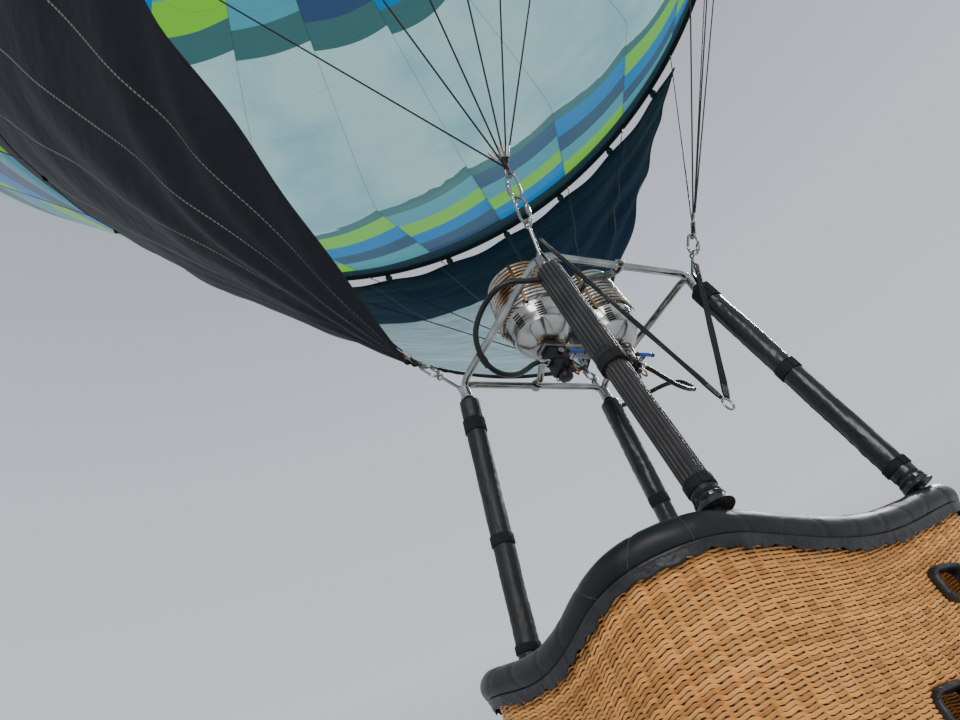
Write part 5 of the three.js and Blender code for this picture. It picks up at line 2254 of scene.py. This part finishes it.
@dataclass
class Basket:
    """Woven willow wall with footholds, on a plywood floor with runners."""

    stakes: int = 102
    rows: int = 164
    swing: float = 0.0075
    strand: float = 0.0036
    slope: float = 0.0022
    belly: float = 0.008
    pad_drop: float = 0.1252
    hole_width: float = 0.15
    hole_height: float = 0.09
    band_tall: float = 0.108
    band_laces: int = 90
    holes: tuple[Point, ...] = (
        (0.221, -1, 0.305), (-0.115, -1, 0.56), (-0.221, 1, 0.305), (0.115, 1, 0.56)
    )

    def height(self, share: float, lift: float) -> float:
        """Height of a share of the wall."""
        low = FLOOR_TOP + 0.001
        return low + (RIM_Z - self.pad_drop + lift - low) * share

    def build(self) -> None:
        """Makes the weave, the stakes, the footholds, the floor, the base band and the runners."""
        draws = random.Random(7)
        half = self.rows // 2
        for part, name in ((range(half), "willow_low"), (range(half, self.rows), "willow_high")):
            mould = self.weave(part, draws)
            mould.piece(name, WILLOW, Body.BALLOON, "willow", ("basket_wall",), 75)
        self.build_stakes()
        self.build_core()
        self.build_footholds()
        self.build_base()

    def strand_mould(self) -> Mould:
        """Makes one strand on the unrolled wall, in front of one stake and behind the next.

        Returns:
            The strand.
        """
        count = self.stakes * 2
        step = WALL.around / count
        line = []
        for i in range(count + 1):
            out = self.swing * math.sin(math.pi * (i + 0.5) / 2)
            line.append(Vector((i * step, out, self.slope * (1 if i % 2 else -1))))
        return tube(line, self.strand, 4, Ends.OPEN, 1.12, Vector((0, 0, 1)))

    def weave(self, part: range, draws: random.Random) -> Mould:
        """Makes some of the rows.

        Args:
            part: numbers of the rows.
            draws: source of small unevenness.

        Returns:
            The rows, bent round the wall and cut at the footholds.
        """
        strand = self.strand_mould()
        mould = Mould()
        tall = RIM_Z - self.pad_drop - FLOOR_TOP
        for row in part:
            flip = -1 if row % 2 else 1
            z = (row + 0.5) / self.rows * tall + draws.uniform(-0.0008, 0.0008)
            swell = draws.uniform(0.92, 1.06)
            place = Matrix.Translation((0, draws.uniform(-0.001, 0.001), z))
            place = place @ Matrix.Diagonal((1, flip * swell, swell, 1))
            copy = Mould().put(strand, place)
            mould.put(copy.mapped(lambda co, row=row: (co.x, row + 0.5)))

        def height(z: float, lift: float) -> float:
            """Height of a drawn height."""
            return self.height(z / tall, lift)

        for vert in mould.bm.verts:
            vert.co.y += self.belly * math.sin(math.pi * vert.co.z / tall)
        WALL.bend(mould, height)
        self.cut_holes(mould)
        return mould

    def cut_holes(self, mould: Mould) -> None:
        """Takes away the faces inside the footholds.

        Args:
            mould: mesh that is bent round the wall.
        """
        gone = []
        for face in mould.bm.faces:
            centre = face.calc_center_median()
            for x, side, below in self.holes:
                wide = abs(centre.x - x) / (self.hole_width / 2)
                high = abs(centre.z - RIM_Z + below) / (self.hole_height / 2)
                if centre.y * side > 0.4 and wide**4 + high**4 < 1:
                    gone.append(face)
        bmesh.ops.delete(mould.bm, geom=gone, context="FACES")

    def build_stakes(self) -> None:
        """Makes the upright rods that the strands pass in front of and behind."""
        mould = Mould()
        step = WALL.around / self.stakes
        for i in range(self.stakes):
            line = []
            for k in range(9):
                share = k / 8
                line.append(Vector(((i + 0.25) * step, self.belly * math.sin(math.pi * share), share)))
            mould.put(tube(line, 0.0085, 6, Ends.CAPPED, 0.55, Vector((0, 1, 0))))
        WALL.bend(mould, self.height)
        self.cut_holes(mould)
        mould.piece("willow_stakes", STAKE, Body.BALLOON, "willow")

    def build_core(self) -> None:
        """Makes a dark sheet between the outer and the inner strands, painted shade that darkens the gaps of
        the weave and stops the sky showing through.
        """
        mould = cloth(
            self.stakes * 4,
            100,
            lambda along_wall, up: Vector(
                (along_wall * WALL.around, self.belly * math.sin(math.pi * up), 0.004 + 0.992 * up)
            ),
        )
        WALL.bend(mould, self.height)
        self.cut_holes(mould)
        mould.piece("willow_core", WEAVE_SHADOW_SHEET, Body.BALLOON, "willow", (), 80)

    def build_footholds(self) -> None:
        """Makes the leather lining of each foothold."""
        mould = Mould()
        for x, side, below in self.holes:
            line = []
            y = side * (WALL.half_y + 0.006 + self.belly * 0.4)
            for i in range(56):
                wide, high = squared(TURN * i / 56, 0.5)
                wide *= self.hole_width / 2 - 0.002
                high *= self.hole_height / 2 - 0.002
                line.append(Vector((x + wide, y, RIM_Z - below + high)))
            sizes = [0.0105 + 0.0009 * math.sin(i * 2.3) for i in range(56)]
            mould.put(tube(line, sizes, 16, Ends.JOINED, 2.15, Vector((0, 1, 0))))
        made = mould.piece("foothold_linings", FOOTHOLD_LEATHER, Body.BALLOON, "rim_leather")
        soften(made, 1)

    def build_base(self) -> None:
        """Makes the base band with its lacing and the runners, and dresses the floor."""

        def place(along_wall: float, up: float) -> Vector:
            """Point of the base band on the unrolled wall.

            Args:
                along_wall: share of the way round.
                up: share of the way up.

            Returns:
                The point.
            """
            s = along_wall * WALL.around
            edge = 1 - abs(2 * up - 1) ** 6
            out = 0.0215 + 0.0035 * edge + self.belly * up * 0.18
            out += 0.0012 * noise.noise((s * 9, up * 3, 1.0))
            return Vector((s, out, FLOOR_TOP - 0.018 + self.band_tall * up))

        band = cloth(360, 8, place)
        WALL.bend(band, lambda z, lift: z)
        made = band.piece("base_leather", BASE_LEATHER, Body.BALLOON, "rim_leather", ("base_band",), 70)
        thicken(made, 0.004, 1.0)
        stitches = Mould()
        for i in range(self.band_laces):
            s = WALL.around * (i + 0.5) / self.band_laces
            foot = Vector((s - 0.006, 0.0285, FLOOR_TOP + 0.066))
            top = Vector((s + 0.006, 0.0285, FLOOR_TOP + 0.096))
            line = [foot, foot.lerp(top, 0.5) + Vector((0, 0.0022, 0)), top - Vector((0, 0.003, 0))]
            stitches.put(tube(line, 0.0022, 6))
        WALL.bend(stitches, lambda z, lift: z)
        stitches.piece("base_lacing", LACE, Body.BALLOON, "rim_leather")
        for i in (1, 2, 3):
            low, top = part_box(f"skid_{i}")
            runner = slab((low + top) / 2, top - low, 0.006)
            runner.piece(f"runner_{i}", PLYWOOD, Body.BALLOON, "plywood", (f"skid_{i}",))
        dress("basket_floor", PLYWOOD)


@dataclass
class RimPad:
    """Leather-covered pad round the basket's rim, sewn across and laced to the willow under it."""

    width: float = 0.046
    tall: float = 0.044
    middle: float = -0.08
    pads: int = 34
    per_pad: int = 14
    sides: int = 40
    lace_holes: int = 76
    seam_depth: float = 0.045
    seam_width: float = 0.007
    gather: float = 0.012
    gather_reach: float = 0.022
    uneven: float = 0.03

    def build(self) -> None:
        """Makes the pad, its flaps and their lacing."""
        self.build_pad()
        self.build_flaps()

    def height(self, z: float, lift: float) -> float:
        """Height of a place drawn from the pad's middle."""
        return RIM_Z + self.middle + lift + z

    def build_pad(self) -> None:
        """Makes the stuffed leather tube, drawn in at each seam across it."""
        pitch = WALL.around / self.pads
        count = self.pads * self.per_pad
        line = [Vector((WALL.around * i / count, 0, 0)) for i in range(count + 1)]
        mould = tube(line, 1.0, self.sides, Ends.OPEN, up=Vector((0, 0, 1)))

        def fill(co: Vector) -> Vector:
            """Point of the stuffed pad for a point of a round tube.

            Args:
                co: the point.

            Returns:
                The new point.
            """
            angle = math.atan2(co.z, co.y)
            number = round(co.x / pitch)
            away = abs(co.x - self.seam_at(number, angle))
            seam = math.exp(-((away / self.seam_width) ** 2))
            gather = math.exp(-away / self.gather_reach) * math.sin(angle * 15 + number * 1.9)
            soft = self.softness(co.x / WALL.around * TURN, angle)
            size = 1 - self.seam_depth * seam + self.gather * gather + self.uneven * soft
            z = self.tall * size * math.sin(angle)
            return Vector((co.x, self.width * size * math.cos(angle), z))

        mould.moved(fill)
        WALL.bend(mould, self.height)
        made = mould.piece("rim_cushion", RIM_LEATHER, Body.BALLOON, "rim_leather", ("rim_pad",), 75)
        self.build_seams()

    def seam_at(self, number: int, angle: float) -> float:
        """Place along the wall of a seam's point, each seam with a slant of its own."""
        pitch = WALL.around / self.pads
        return pitch * (number - 0.22 * math.sin(angle) * math.sin((number % self.pads) * 2.4))

    @staticmethod
    def softness(turn: float, angle: float) -> float:
        """Unevenness of the pad's stuffing at a turn round the basket and an angle round the pad."""
        return noise.noise((math.cos(turn) * 12, math.sin(turn) * 12, angle * 1.3))

    def build_seams(self) -> None:
        """Makes the raised welt along each seam of the pad."""
        mould = Mould()
        for number in range(self.pads):
            line = []
            for k in range(25):
                angle = TURN * (k / 24 - 0.25)
                soft = self.softness(number * TURN / self.pads, angle)
                size = 1 - self.seam_depth + self.uneven * soft
                out = self.width * size * math.cos(angle)
                line.append(Vector((self.seam_at(number, angle), out, self.tall * size * math.sin(angle))))
            mould.put(tube(line, 0.0016, 6))
        WALL.bend(mould, self.height)
        mould.piece("rim_seams", SEAM_LEATHER, Body.BALLOON, "rim_leather", (), 80)

    def build_flaps(self) -> None:
        """Makes the wavy flaps under the pad, outside and inside, and the lace through them."""
        flaps = Mould()
        laces = Mould()
        holes = self.lace_holes
        for side in (1, -1):

            def place(along_wall: float, down: float, side: int = side) -> Vector:
                """Point of a flap on the unrolled wall.

                Args:
                    along_wall: share of the way round.
                    down: share of the way down.
                    side: 1 outside, -1 inside.

                Returns:
                    The point.
                """
                s = along_wall * WALL.around
                tuck = math.cos(TURN * along_wall * holes)
                turn = math.cos(TURN * along_wall) * 60, math.sin(TURN * along_wall) * 60
                rough = noise.noise((*turn, down * 2.0))
                wave = 0.0035 * math.sin(s * 31) + 0.004 * tuck + 0.006 * rough
                out = 0.034 - 0.011 * down**0.7 + 0.0024 * (1 - tuck) * down * 0.5
                out += 0.004 * abs(noise.noise((turn[0] * 2, turn[1] * 2, down * 5.0))) * (0.3 + down)
                return Vector((s, side * out, -self.tall + 0.011 - (0.03 + wave) * down))

            flaps.put(cloth(456, 6, place))
            for i in range(holes):
                s = WALL.around * i / holes
                top = Vector((s - 0.003, side * 0.0252, -self.tall - 0.004))
                low = Vector((s + 0.003, side * 0.0215, -self.tall - 0.015))
                middle = top.lerp(low, 0.5) + Vector((0, side * 0.0035, 0))
                laces.put(tube([top, middle, low], 0.0016, 6))
        WALL.bend(flaps, self.height)
        made = flaps.piece("rim_flaps", FLAP_LEATHER, Body.BALLOON, "rim_leather", (), 80)
        thicken(made, 0.0022, 0.0)
        WALL.bend(laces, self.height)
        laces.piece("rim_lacing", LACE, Body.BALLOON, "rim_leather")


@dataclass
class Cylinder:
    """Fuel cylinder in a padded jacket, strapped in a corner of the basket."""

    corner: Corner
    radius: float = 0.132
    offset: float = 0.076
    shoulder: float = 0.56
    jacket_low: float = 0.012
    jacket_top: float = 0.565
    strap_heights: tuple[float, ...] = (0.16, 0.42)

    @property
    def label(self) -> str:
        """Name of the corner in a piece's name."""
        return self.corner.label

    @property
    def place(self) -> Matrix:
        """Matrix from a cylinder drawn on the origin to its place.

        Returns:
            The matrix.
        """
        x = self.corner.x * (WALL.half_x - WALL.corner + self.offset)
        y = self.corner.y * (WALL.half_y - WALL.corner + self.offset)
        return Matrix.Translation((x, y, FLOOR_TOP + SEAT))

    def build(self) -> None:
        """Makes the steel body with its valve, the jacket and the two straps."""
        self.build_body()
        self.build_jacket()
        self.build_straps()

    def build_body(self) -> None:
        """Makes the steel body with its domed top and guard collar, and the valve."""
        r = self.radius - 0.004
        profile = [(0, 0.006), (r - 0.02, 0.006), (r, 0.03), (r, self.shoulder)]
        profile += [(r - 0.006, 0.578), (r - 0.02, 0.6), (0.092, 0.615), (0.092, 0.684), (0.0905, 0.69)]
        profile += [(0.0875, 0.69), (0.086, 0.684), (0.086, 0.622), (0.06, 0.632), (0, 0.638)]
        facts = (f"cylinder_{self.label}", DULL_STEEL, Body.BALLOON, "cylinder_steel")
        lathe(profile, 56).piece_at(self.place, *facts, (f"fuel_cylinder_{self.label}",))
        profile = [(0, 0.636), (0.02, 0.636), (0.022, 0.64), (0.022, 0.652), (0.013, 0.655), (0.013, 0.668)]
        profile += [(0.03, 0.67), (0.032, 0.673), (0.032, 0.681), (0.03, 0.684), (0, 0.685)]
        valve = lathe(profile, 28)
        valve.put(rod((0, 0, 0.65), (0.045, 0, 0.65), 0.009, 18, 0.001))
        facts = (f"cylinder_valve_{self.label}", BRASS, Body.BALLOON, "stainless_steel")
        valve.piece_at(self.place, *facts)

    def build_jacket(self) -> None:
        """Makes the quilted jacket, tight at its drawn top and bottom edges."""
        tall = self.jacket_top - self.jacket_low
        heights = [self.jacket_low + tall * i / 40 for i in range(41)]
        outer = [(self.radius, z) for z in heights]
        inner = [(self.radius - 0.0036, z) for z in reversed(heights)]
        mould = lathe([*outer, *inner, outer[0]], 72)

        def quilt(co: Vector) -> Vector:
            """Moves a point of the jacket's outside in and out.

            Args:
                co: the point.

            Returns:
                The new point.
            """
            radius, angle = polar_of(co)
            if radius < self.radius - 0.002:
                return co
            ends = min(1.0, (co.z - self.jacket_low) / 0.02, (self.jacket_top - co.z) / 0.02)
            rib = abs(math.sin(angle * 6)) ** 0.5
            soft = noise.noise((math.cos(angle) * 3, math.sin(angle) * 3, co.z * 12))
            stuffed = max(0.0, ends)
            out = (-0.0028 + 0.004 * rib + 0.0015 * soft) * stuffed - 0.0025 * (1 - stuffed)
            return pushed(co, out)

        mould.moved(quilt)
        facts = (f"cylinder_jacket_{self.label}", JACKET, Body.BALLOON, "padded_sleeve", (), 70)
        made = mould.piece_at(self.place, *facts)

    def build_straps(self) -> None:
        """Makes the two straps round the cylinder, with buckles."""
        straps = Mould()
        buckles = Mould()
        for z in self.strap_heights:
            r = self.radius + 0.0015
            profile = [(r, z - 0.02), (r + 0.003, z - 0.02), (r + 0.003, z + 0.02), (r, z + 0.02)]
            straps.put(lathe([*profile, profile[0]], 72))
            buckles.put(slab((-r - 0.004, 0, z), (0.004, 0.05, 0.052), 0.0015))
        facts = (f"cylinder_straps_{self.label}", WEB, Body.BALLOON, "strap_webbing")
        straps.piece_at(self.place, *facts)
        facts = (f"cylinder_buckles_{self.label}", DULL_STEEL, Body.BALLOON, "stainless_steel")
        buckles.piece_at(self.place, *facts)


@dataclass
class Gimbal:
    """Arched bar that rolls in the frame, with the post that the burners pitch on."""

    pivot_length: float = 0.026
    gap: float = 0.006
    rise: float = 0.1
    flat: float = 0.17
    tube: float = 0.015
    post: float = 0.013
    post_drop: float = 0.012
    pin: float = 0.01

    def build(self) -> None:
        """Makes the bar with its pins, their collars and nuts, and the post."""
        reach = FRAME_Y + self.pivot_length / 2
        inner = FRAME_Y - self.pivot_length / 2 - self.gap
        high = PIVOT_Z + self.rise
        knots = [
            Vector((0, -y, z))
            for y, z in (
                (inner - 0.014, PIVOT_Z),
                (inner - 0.04, PIVOT_Z),
                (self.flat + 0.045, high),
                (self.flat, high),
            )
        ]
        bend = []
        for i in range(17):
            t = i / 16
            a, b, c, d = knots
            bend.append(a * (1 - t) ** 3 + b * 3 * t * (1 - t) ** 2 + c * 3 * t * t * (1 - t) + d * t**3)
        side = [Vector((0, -inner, PIVOT_Z)), *bend]
        line = side + [Vector((0, -p.y, p.z)) for p in reversed(side)]
        mould = tube(line, self.tube, 24, up=Vector((1, 0, 0)))
        for way in (-1, 1):
            start = Vector((0, way * (inner - 0.008), PIVOT_Z))
            end = Vector((0, way * reach, PIVOT_Z))
            mould.put(rod(start, end, self.pin, 28, 0.001))
            mould.put(rod(start, start + Vector((0, way * 0.007, 0)), 0.019, 28, 0.0015))
        low = PIVOT_Z - self.post_drop
        mould.put(rod((0, 0, low), (0, 0, high), self.post, 28, 0.001))
        mould.put(rod((0, 0, high - 0.028), (0, 0, high - 0.012), self.post + 0.005, 28, 0.003))
        mould.piece("gimbal_steel", BRIGHT_STEEL, Body.GIMBAL, "stainless_steel", ("gimbal_bar",))
        nuts = Mould()
        for way in (-1, 1):
            place = Matrix.Translation((0, way * (reach + 0.0055), PIVOT_Z))
            nuts.put(hex_nut(0.014, 0.01, 0.001), place @ Matrix.Rotation(math.pi / 2, 4, "X"))
        nuts.piece("gimbal_nuts", DULL_STEEL, Body.GIMBAL, "stainless_steel")


class Side(Enum):
    """The two burners."""

    LEFT = -1
    RIGHT = 1


@dataclass
class Bracket:
    """Plate that carries the burners, with the ears that pitch on the gimbal's post."""

    plate_x: float = 0.23
    plate_y: float = 0.034
    ear_x: float = 0.024
    ear_thick: float = 0.007
    ear_width: float = 0.05

    def build(self) -> None:
        """Makes the plate with its ears, pin and bolts."""
        top = PIVOT_Z + 0.022
        middle = PLATE_TOP - PLATE_THICK / 2
        size = (self.plate_x * 2, self.plate_y * 2, PLATE_THICK)
        mould = slab((0, 0, middle), size, 0.003)
        for way in (-1, 1):
            low = PLATE_TOP - 0.004
            size = (self.ear_thick, self.ear_width, top - low)
            mould.put(slab((way * self.ear_x, 0, (top + low) / 2), size, 0.003))
            tip = way * (self.ear_x + 0.003)
            mould.put(rod((tip, 0, PIVOT_Z), (way * (self.ear_x + 0.011), 0, PIVOT_Z), 0.013, 24, 0.002))
        mould.put(rod((-self.ear_x - 0.003, 0, PIVOT_Z), (self.ear_x + 0.003, 0, PIVOT_Z), 0.008, 24))
        for x in (-0.05, 0.05):
            for y in (-0.02, 0.02):
                mould.put(hex_nut(0.008, 0.007), Matrix.Translation((x, y, PLATE_TOP + 0.0034)))
        mould.piece("bracket_steel", DULL_STEEL, Body.BURNERS, "stainless_steel", ("burner_bracket",))


@dataclass
class Burner:
    """One burner: a can with jets, a heated coil, a valve block and a handle."""

    side: Side
    burner_x: float = 0.176
    valve_drop: float = 0.14
    stem_drop: float = 0.096
    handle_y: float = -0.1045
    can_wall: float = 0.003
    can_top: float = FRAME_Z + 0.075
    bead_height: float = 0.106
    slot_rows: int = 6
    slot_ladders: int = 8
    jet_height: float = 0.085
    jet_rings: tuple[tuple[float, int], ...] = ((0.075, 18), (0.04, 10))
    jet_feeds: tuple[float, ...] = (0.5, 2.6, 4.7)
    coil_top: float = FRAME_Z + 0.295
    coil_radius: float = 0.143
    coil_taper: float = 0.018
    coil_tube: float = 0.007
    coil_turns: int = 11

    @property
    def name(self) -> str:
        """Name of the burner in a piece's name."""
        return self.side.name.lower()

    @property
    def x(self) -> float:
        """Middle of the burner."""
        return self.side.value * self.burner_x

    @property
    def place(self) -> Matrix:
        """Matrix from a can or coil drawn round the Z axis to its place."""
        return Matrix.Translation((self.x, 0, 0))

    @property
    def block_top(self) -> float:
        """Height of the valve block's seat under the plate."""
        return PLATE_TOP - PLATE_THICK - SEAT

    def build(self) -> None:
        """Makes the can, the coil, the valve and the handle."""
        self.build_can()
        self.build_coil()
        self.build_valve()
        self.build_handle()

    def build_can(self) -> None:
        """Makes the can with its bead and lip, its slots, and the jets inside it."""
        low, top, wall = PLATE_TOP + SEAT, self.can_top, self.can_wall
        outer = [(0, low), (0.052, low), (0.064, low + 0.003), (0.086, low + 0.02), (0.106, low + 0.043)]
        outer += [(0.1185, low + 0.064), (0.1225, low + 0.075), (0.1255, low + 0.1), (0.127, low + 0.103)]
        outer += [(0.1255, low + 0.106), (0.1335, top - 0.02), (0.1345, top - 0.008), (0.1362, top - 0.004)]
        outer += [(0.1362, top)]
        inner = [(max(0.0, r - wall), z + (wall if z < low + 0.01 else 0)) for r, z in outer[1:-2]]
        profile = [*outer, (0.1332, top), *reversed(inner), (0, low + wall)]
        name, place, node = self.name, self.place, f"burner_can_{self.name}"
        can = lathe(profile, 72)
        can.piece_at(place, f"can_{name}", CAN_STEEL, Body.BURNERS, "burner_steel", (node,))
        self.slots(low).piece_at(place, f"can_slots_{name}", SLOT_SHADE, Body.BURNERS, "burner_steel")
        self.jets(low).piece_at(place, f"jets_{name}", BRASS, Body.BURNERS, "burner_steel")

    def slots(self, low: float) -> Mould:
        """Makes the short dark slots that climb a can in ladders: dark plates on the wall, painted shade
        where the real can has openings.

        Args:
            low: height of the can's foot.

        Returns:
            The slots.
        """
        mould = Mould()
        for i in range(self.slot_rows):
            up = 0.081 + i * 0.0105
            radius = 0.1224 + (up - 0.075) * 0.12 if up < self.bead_height else 0.1257 + (up - 0.106) * 0.296
            slot = slab((min(radius, 0.1347), 0, low + up), (0.0022, 0.032, 0.0062), 0.0007)
            mould.put(slot, *turns_of(self.slot_ladders, TURN * 0.35 / self.slot_ladders))
        return mould

    def jets(self, low: float) -> Mould:
        """Makes the two jet rings and the pilot inside a can.

        Args:
            low: height of the can's foot.

        Returns:
            The jets.
        """
        mould = Mould()
        z = low + self.jet_height
        for radius, count in self.jet_rings:
            mould.put(hoop(Vector((0, 0, z)), Vector((radius, 0, 0)), Vector((0, radius, 0)), 0.006, 40, 10))
            for i in range(count):
                foot = polar(radius, TURN * i / count, z)
                mould.put(rod(foot, foot + Vector((0, 0, 0.013)), 0.0024, 8))
        for angle in self.jet_feeds:
            mould.put(rod(polar(0.045, angle, low + 0.004), polar(0.058, angle, z), 0.006, 12))
        profile = [(0, low + 0.002), (0.017, low + 0.002), (0.017, low + 0.07), (0.021, low + 0.074)]
        profile += [(0.021, low + 0.105), (0.018, low + 0.107), (0, low + 0.1)]
        return mould.put(lathe(profile, 24))

    def build_coil(self) -> None:
        """Makes the vaporising coil and the straps that hold its turns."""
        name, place = self.name, self.place
        bottom = self.can_top + SEAT + self.coil_tube
        steps = 36
        line = []
        for i in range(self.coil_turns * steps + 1):
            share = i / (self.coil_turns * steps)
            angle = share * self.coil_turns * TURN
            radius = self.coil_radius - self.coil_taper * share
            line.append(polar(radius, angle, bottom + (self.coil_top - bottom) * share))
        mould = tube(line, self.coil_tube, 12, up=Vector((0, 0, 1)))
        finish = COIL if self.side is Side.LEFT else COIL_GREY
        node = f"burner_coil_{name}"
        mould.piece_at(place, f"coil_{name}", finish, Body.BURNERS, "heated_coil", (node,))
        straps = Mould()
        tall = self.coil_top - self.can_top
        middle = self.coil_radius - self.coil_tube - 0.0035
        height = self.can_top + tall / 2 - 0.005
        lean = Matrix.Rotation(-self.coil_taper / tall, 4, "Y")
        strips = (
            (middle - 0.009, height, (0.003, 0.018, tall + 0.02), 0.001),
            (middle + 0.0095, height + 0.004, (0.0022, 0.014, tall + 0.006), 0.0008),
        )
        for out, up, size, bevel in strips:
            centre = Matrix.Translation((out, 0, up)) @ lean
            strip = slab((0, 0, 0), size, bevel)
            straps.put(strip, *(turn @ centre for turn in turns_of(4, TURN / 8)))
        straps.piece_at(place, f"coil_straps_{name}", BRONZE, Body.BURNERS, "heated_coil")

    def build_valve(self) -> None:
        """Makes the valve block with its stem, fittings and copper pilot tube."""
        name, x = self.name, self.x
        top = self.block_top
        low = top - self.valve_drop
        stem = top - self.stem_drop
        mould = slab((x, 0, top - 0.03), (0.084, 0.064, 0.06), 0.006)
        mould.put(slab((x, 0, top - 0.085), (0.076, 0.058, 0.062), 0.008))
        mould.put(rod((x, 0, low), (x, 0, low + 0.034), 0.027, 28, 0.004))
        mould.put(rod((x, -0.025, stem), (x, -0.06, stem), 0.0165, 24, 0.002))
        node = f"valve_block_{name}"
        mould.piece(f"valve_{name}", VALVE_BLACK, Body.BURNERS, "valve_black", (node,))
        bright = rod((x, -0.06, stem), (x, -0.095, stem), 0.009, 20, 0.001)
        bright.put(rod((x, -0.034, top - 0.03), (x, -0.046, top - 0.03), 0.013, 24, 0.0015))
        for side in (-0.024, 0.024):
            bright.put(rod((x + side, 0.02, low + 0.022), (x + side, 0.02, low + 0.006), 0.007, 16, 0.001))
        bright.piece(f"valve_fittings_{name}", BRIGHT_STEEL, Body.BURNERS, "stainless_steel")
        line = smooth(
            [
                (x + 0.03, -0.02, low + 0.02),
                (x + 0.034, -0.03, low - 0.004),
                (x + 0.022, -0.046, low + 0.004),
                (x + 0.012, -0.05, low + 0.03),
                (x + 0.02, -0.05, top - 0.05),
                (x + 0.03, -0.045, top - 0.004),
                (x + 0.034, -0.05, top + 0.03),
            ],
            6,
        )
        tube(line, 0.0036, 10).piece(f"pilot_tube_{name}", COPPER, Body.BURNERS, "heated_coil")

    def build_handle(self) -> None:
        """Makes the blue blast handle with its black ends."""
        name, x = self.name, self.x
        stem = self.block_top - self.stem_drop
        node = f"blast_handle_{name}"
        profile = [(0, -0.036), (0.0075, -0.036), (0.0085, -0.033), (0.0078, -0.018), (0.0086, 0.0)]
        profile += [(0.0078, 0.018), (0.0085, 0.033), (0.0075, 0.036), (0, 0.036)]
        place = Matrix.Translation((x, self.handle_y, stem)) @ Matrix.Rotation(math.pi / 2, 4, "Y")
        grip = lathe(profile, 24)
        grip.piece_at(place, f"grip_{name}", HANDLE_BLUE, Body.BURNERS, "handle_blue", (node,))
        balls = Mould()
        for side in (-1, 1):
            ball = Mould()
            bmesh.ops.create_uvsphere(ball.bm, u_segments=20, v_segments=14, radius=0.0098)
            balls.put(ball, Matrix.Translation((x + side * 0.0402, self.handle_y, stem)))
        balls.piece(f"handle_ends_{name}", VALVE_BLACK, Body.BURNERS, "valve_black")


def dress(node: str, finish: Finish) -> None:
    """Gives a solid that stays in view a finish of its own.

    Args:
        node: the solid's name.
        finish: the finish.
    """
    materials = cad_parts[node].data.materials
    materials.clear()
    materials.append(finish.made())
    LOG.info("%s: kept, %s", node, finish.name)


def main() -> None:
    """Builds each sub-assembly in order."""
    logging.basicConfig(level=logging.INFO, format="%(message)s")
    Studio().build()
    Hoses().build()
    Bridle().build()
    envelope = Envelope()
    envelope.build()
    Crown().build(envelope)
    Skirt().build()
    Rigging().build()
    LoadFrame().build()
    Uprights().build()
    Basket().build()
    RimPad().build()
    for corner in Corner:
        Cylinder(corner).build()
    Gimbal().build()
    Bracket().build()
    for side in Side:
        Burner(side).build()


if __name__ == "__main__":
    main()
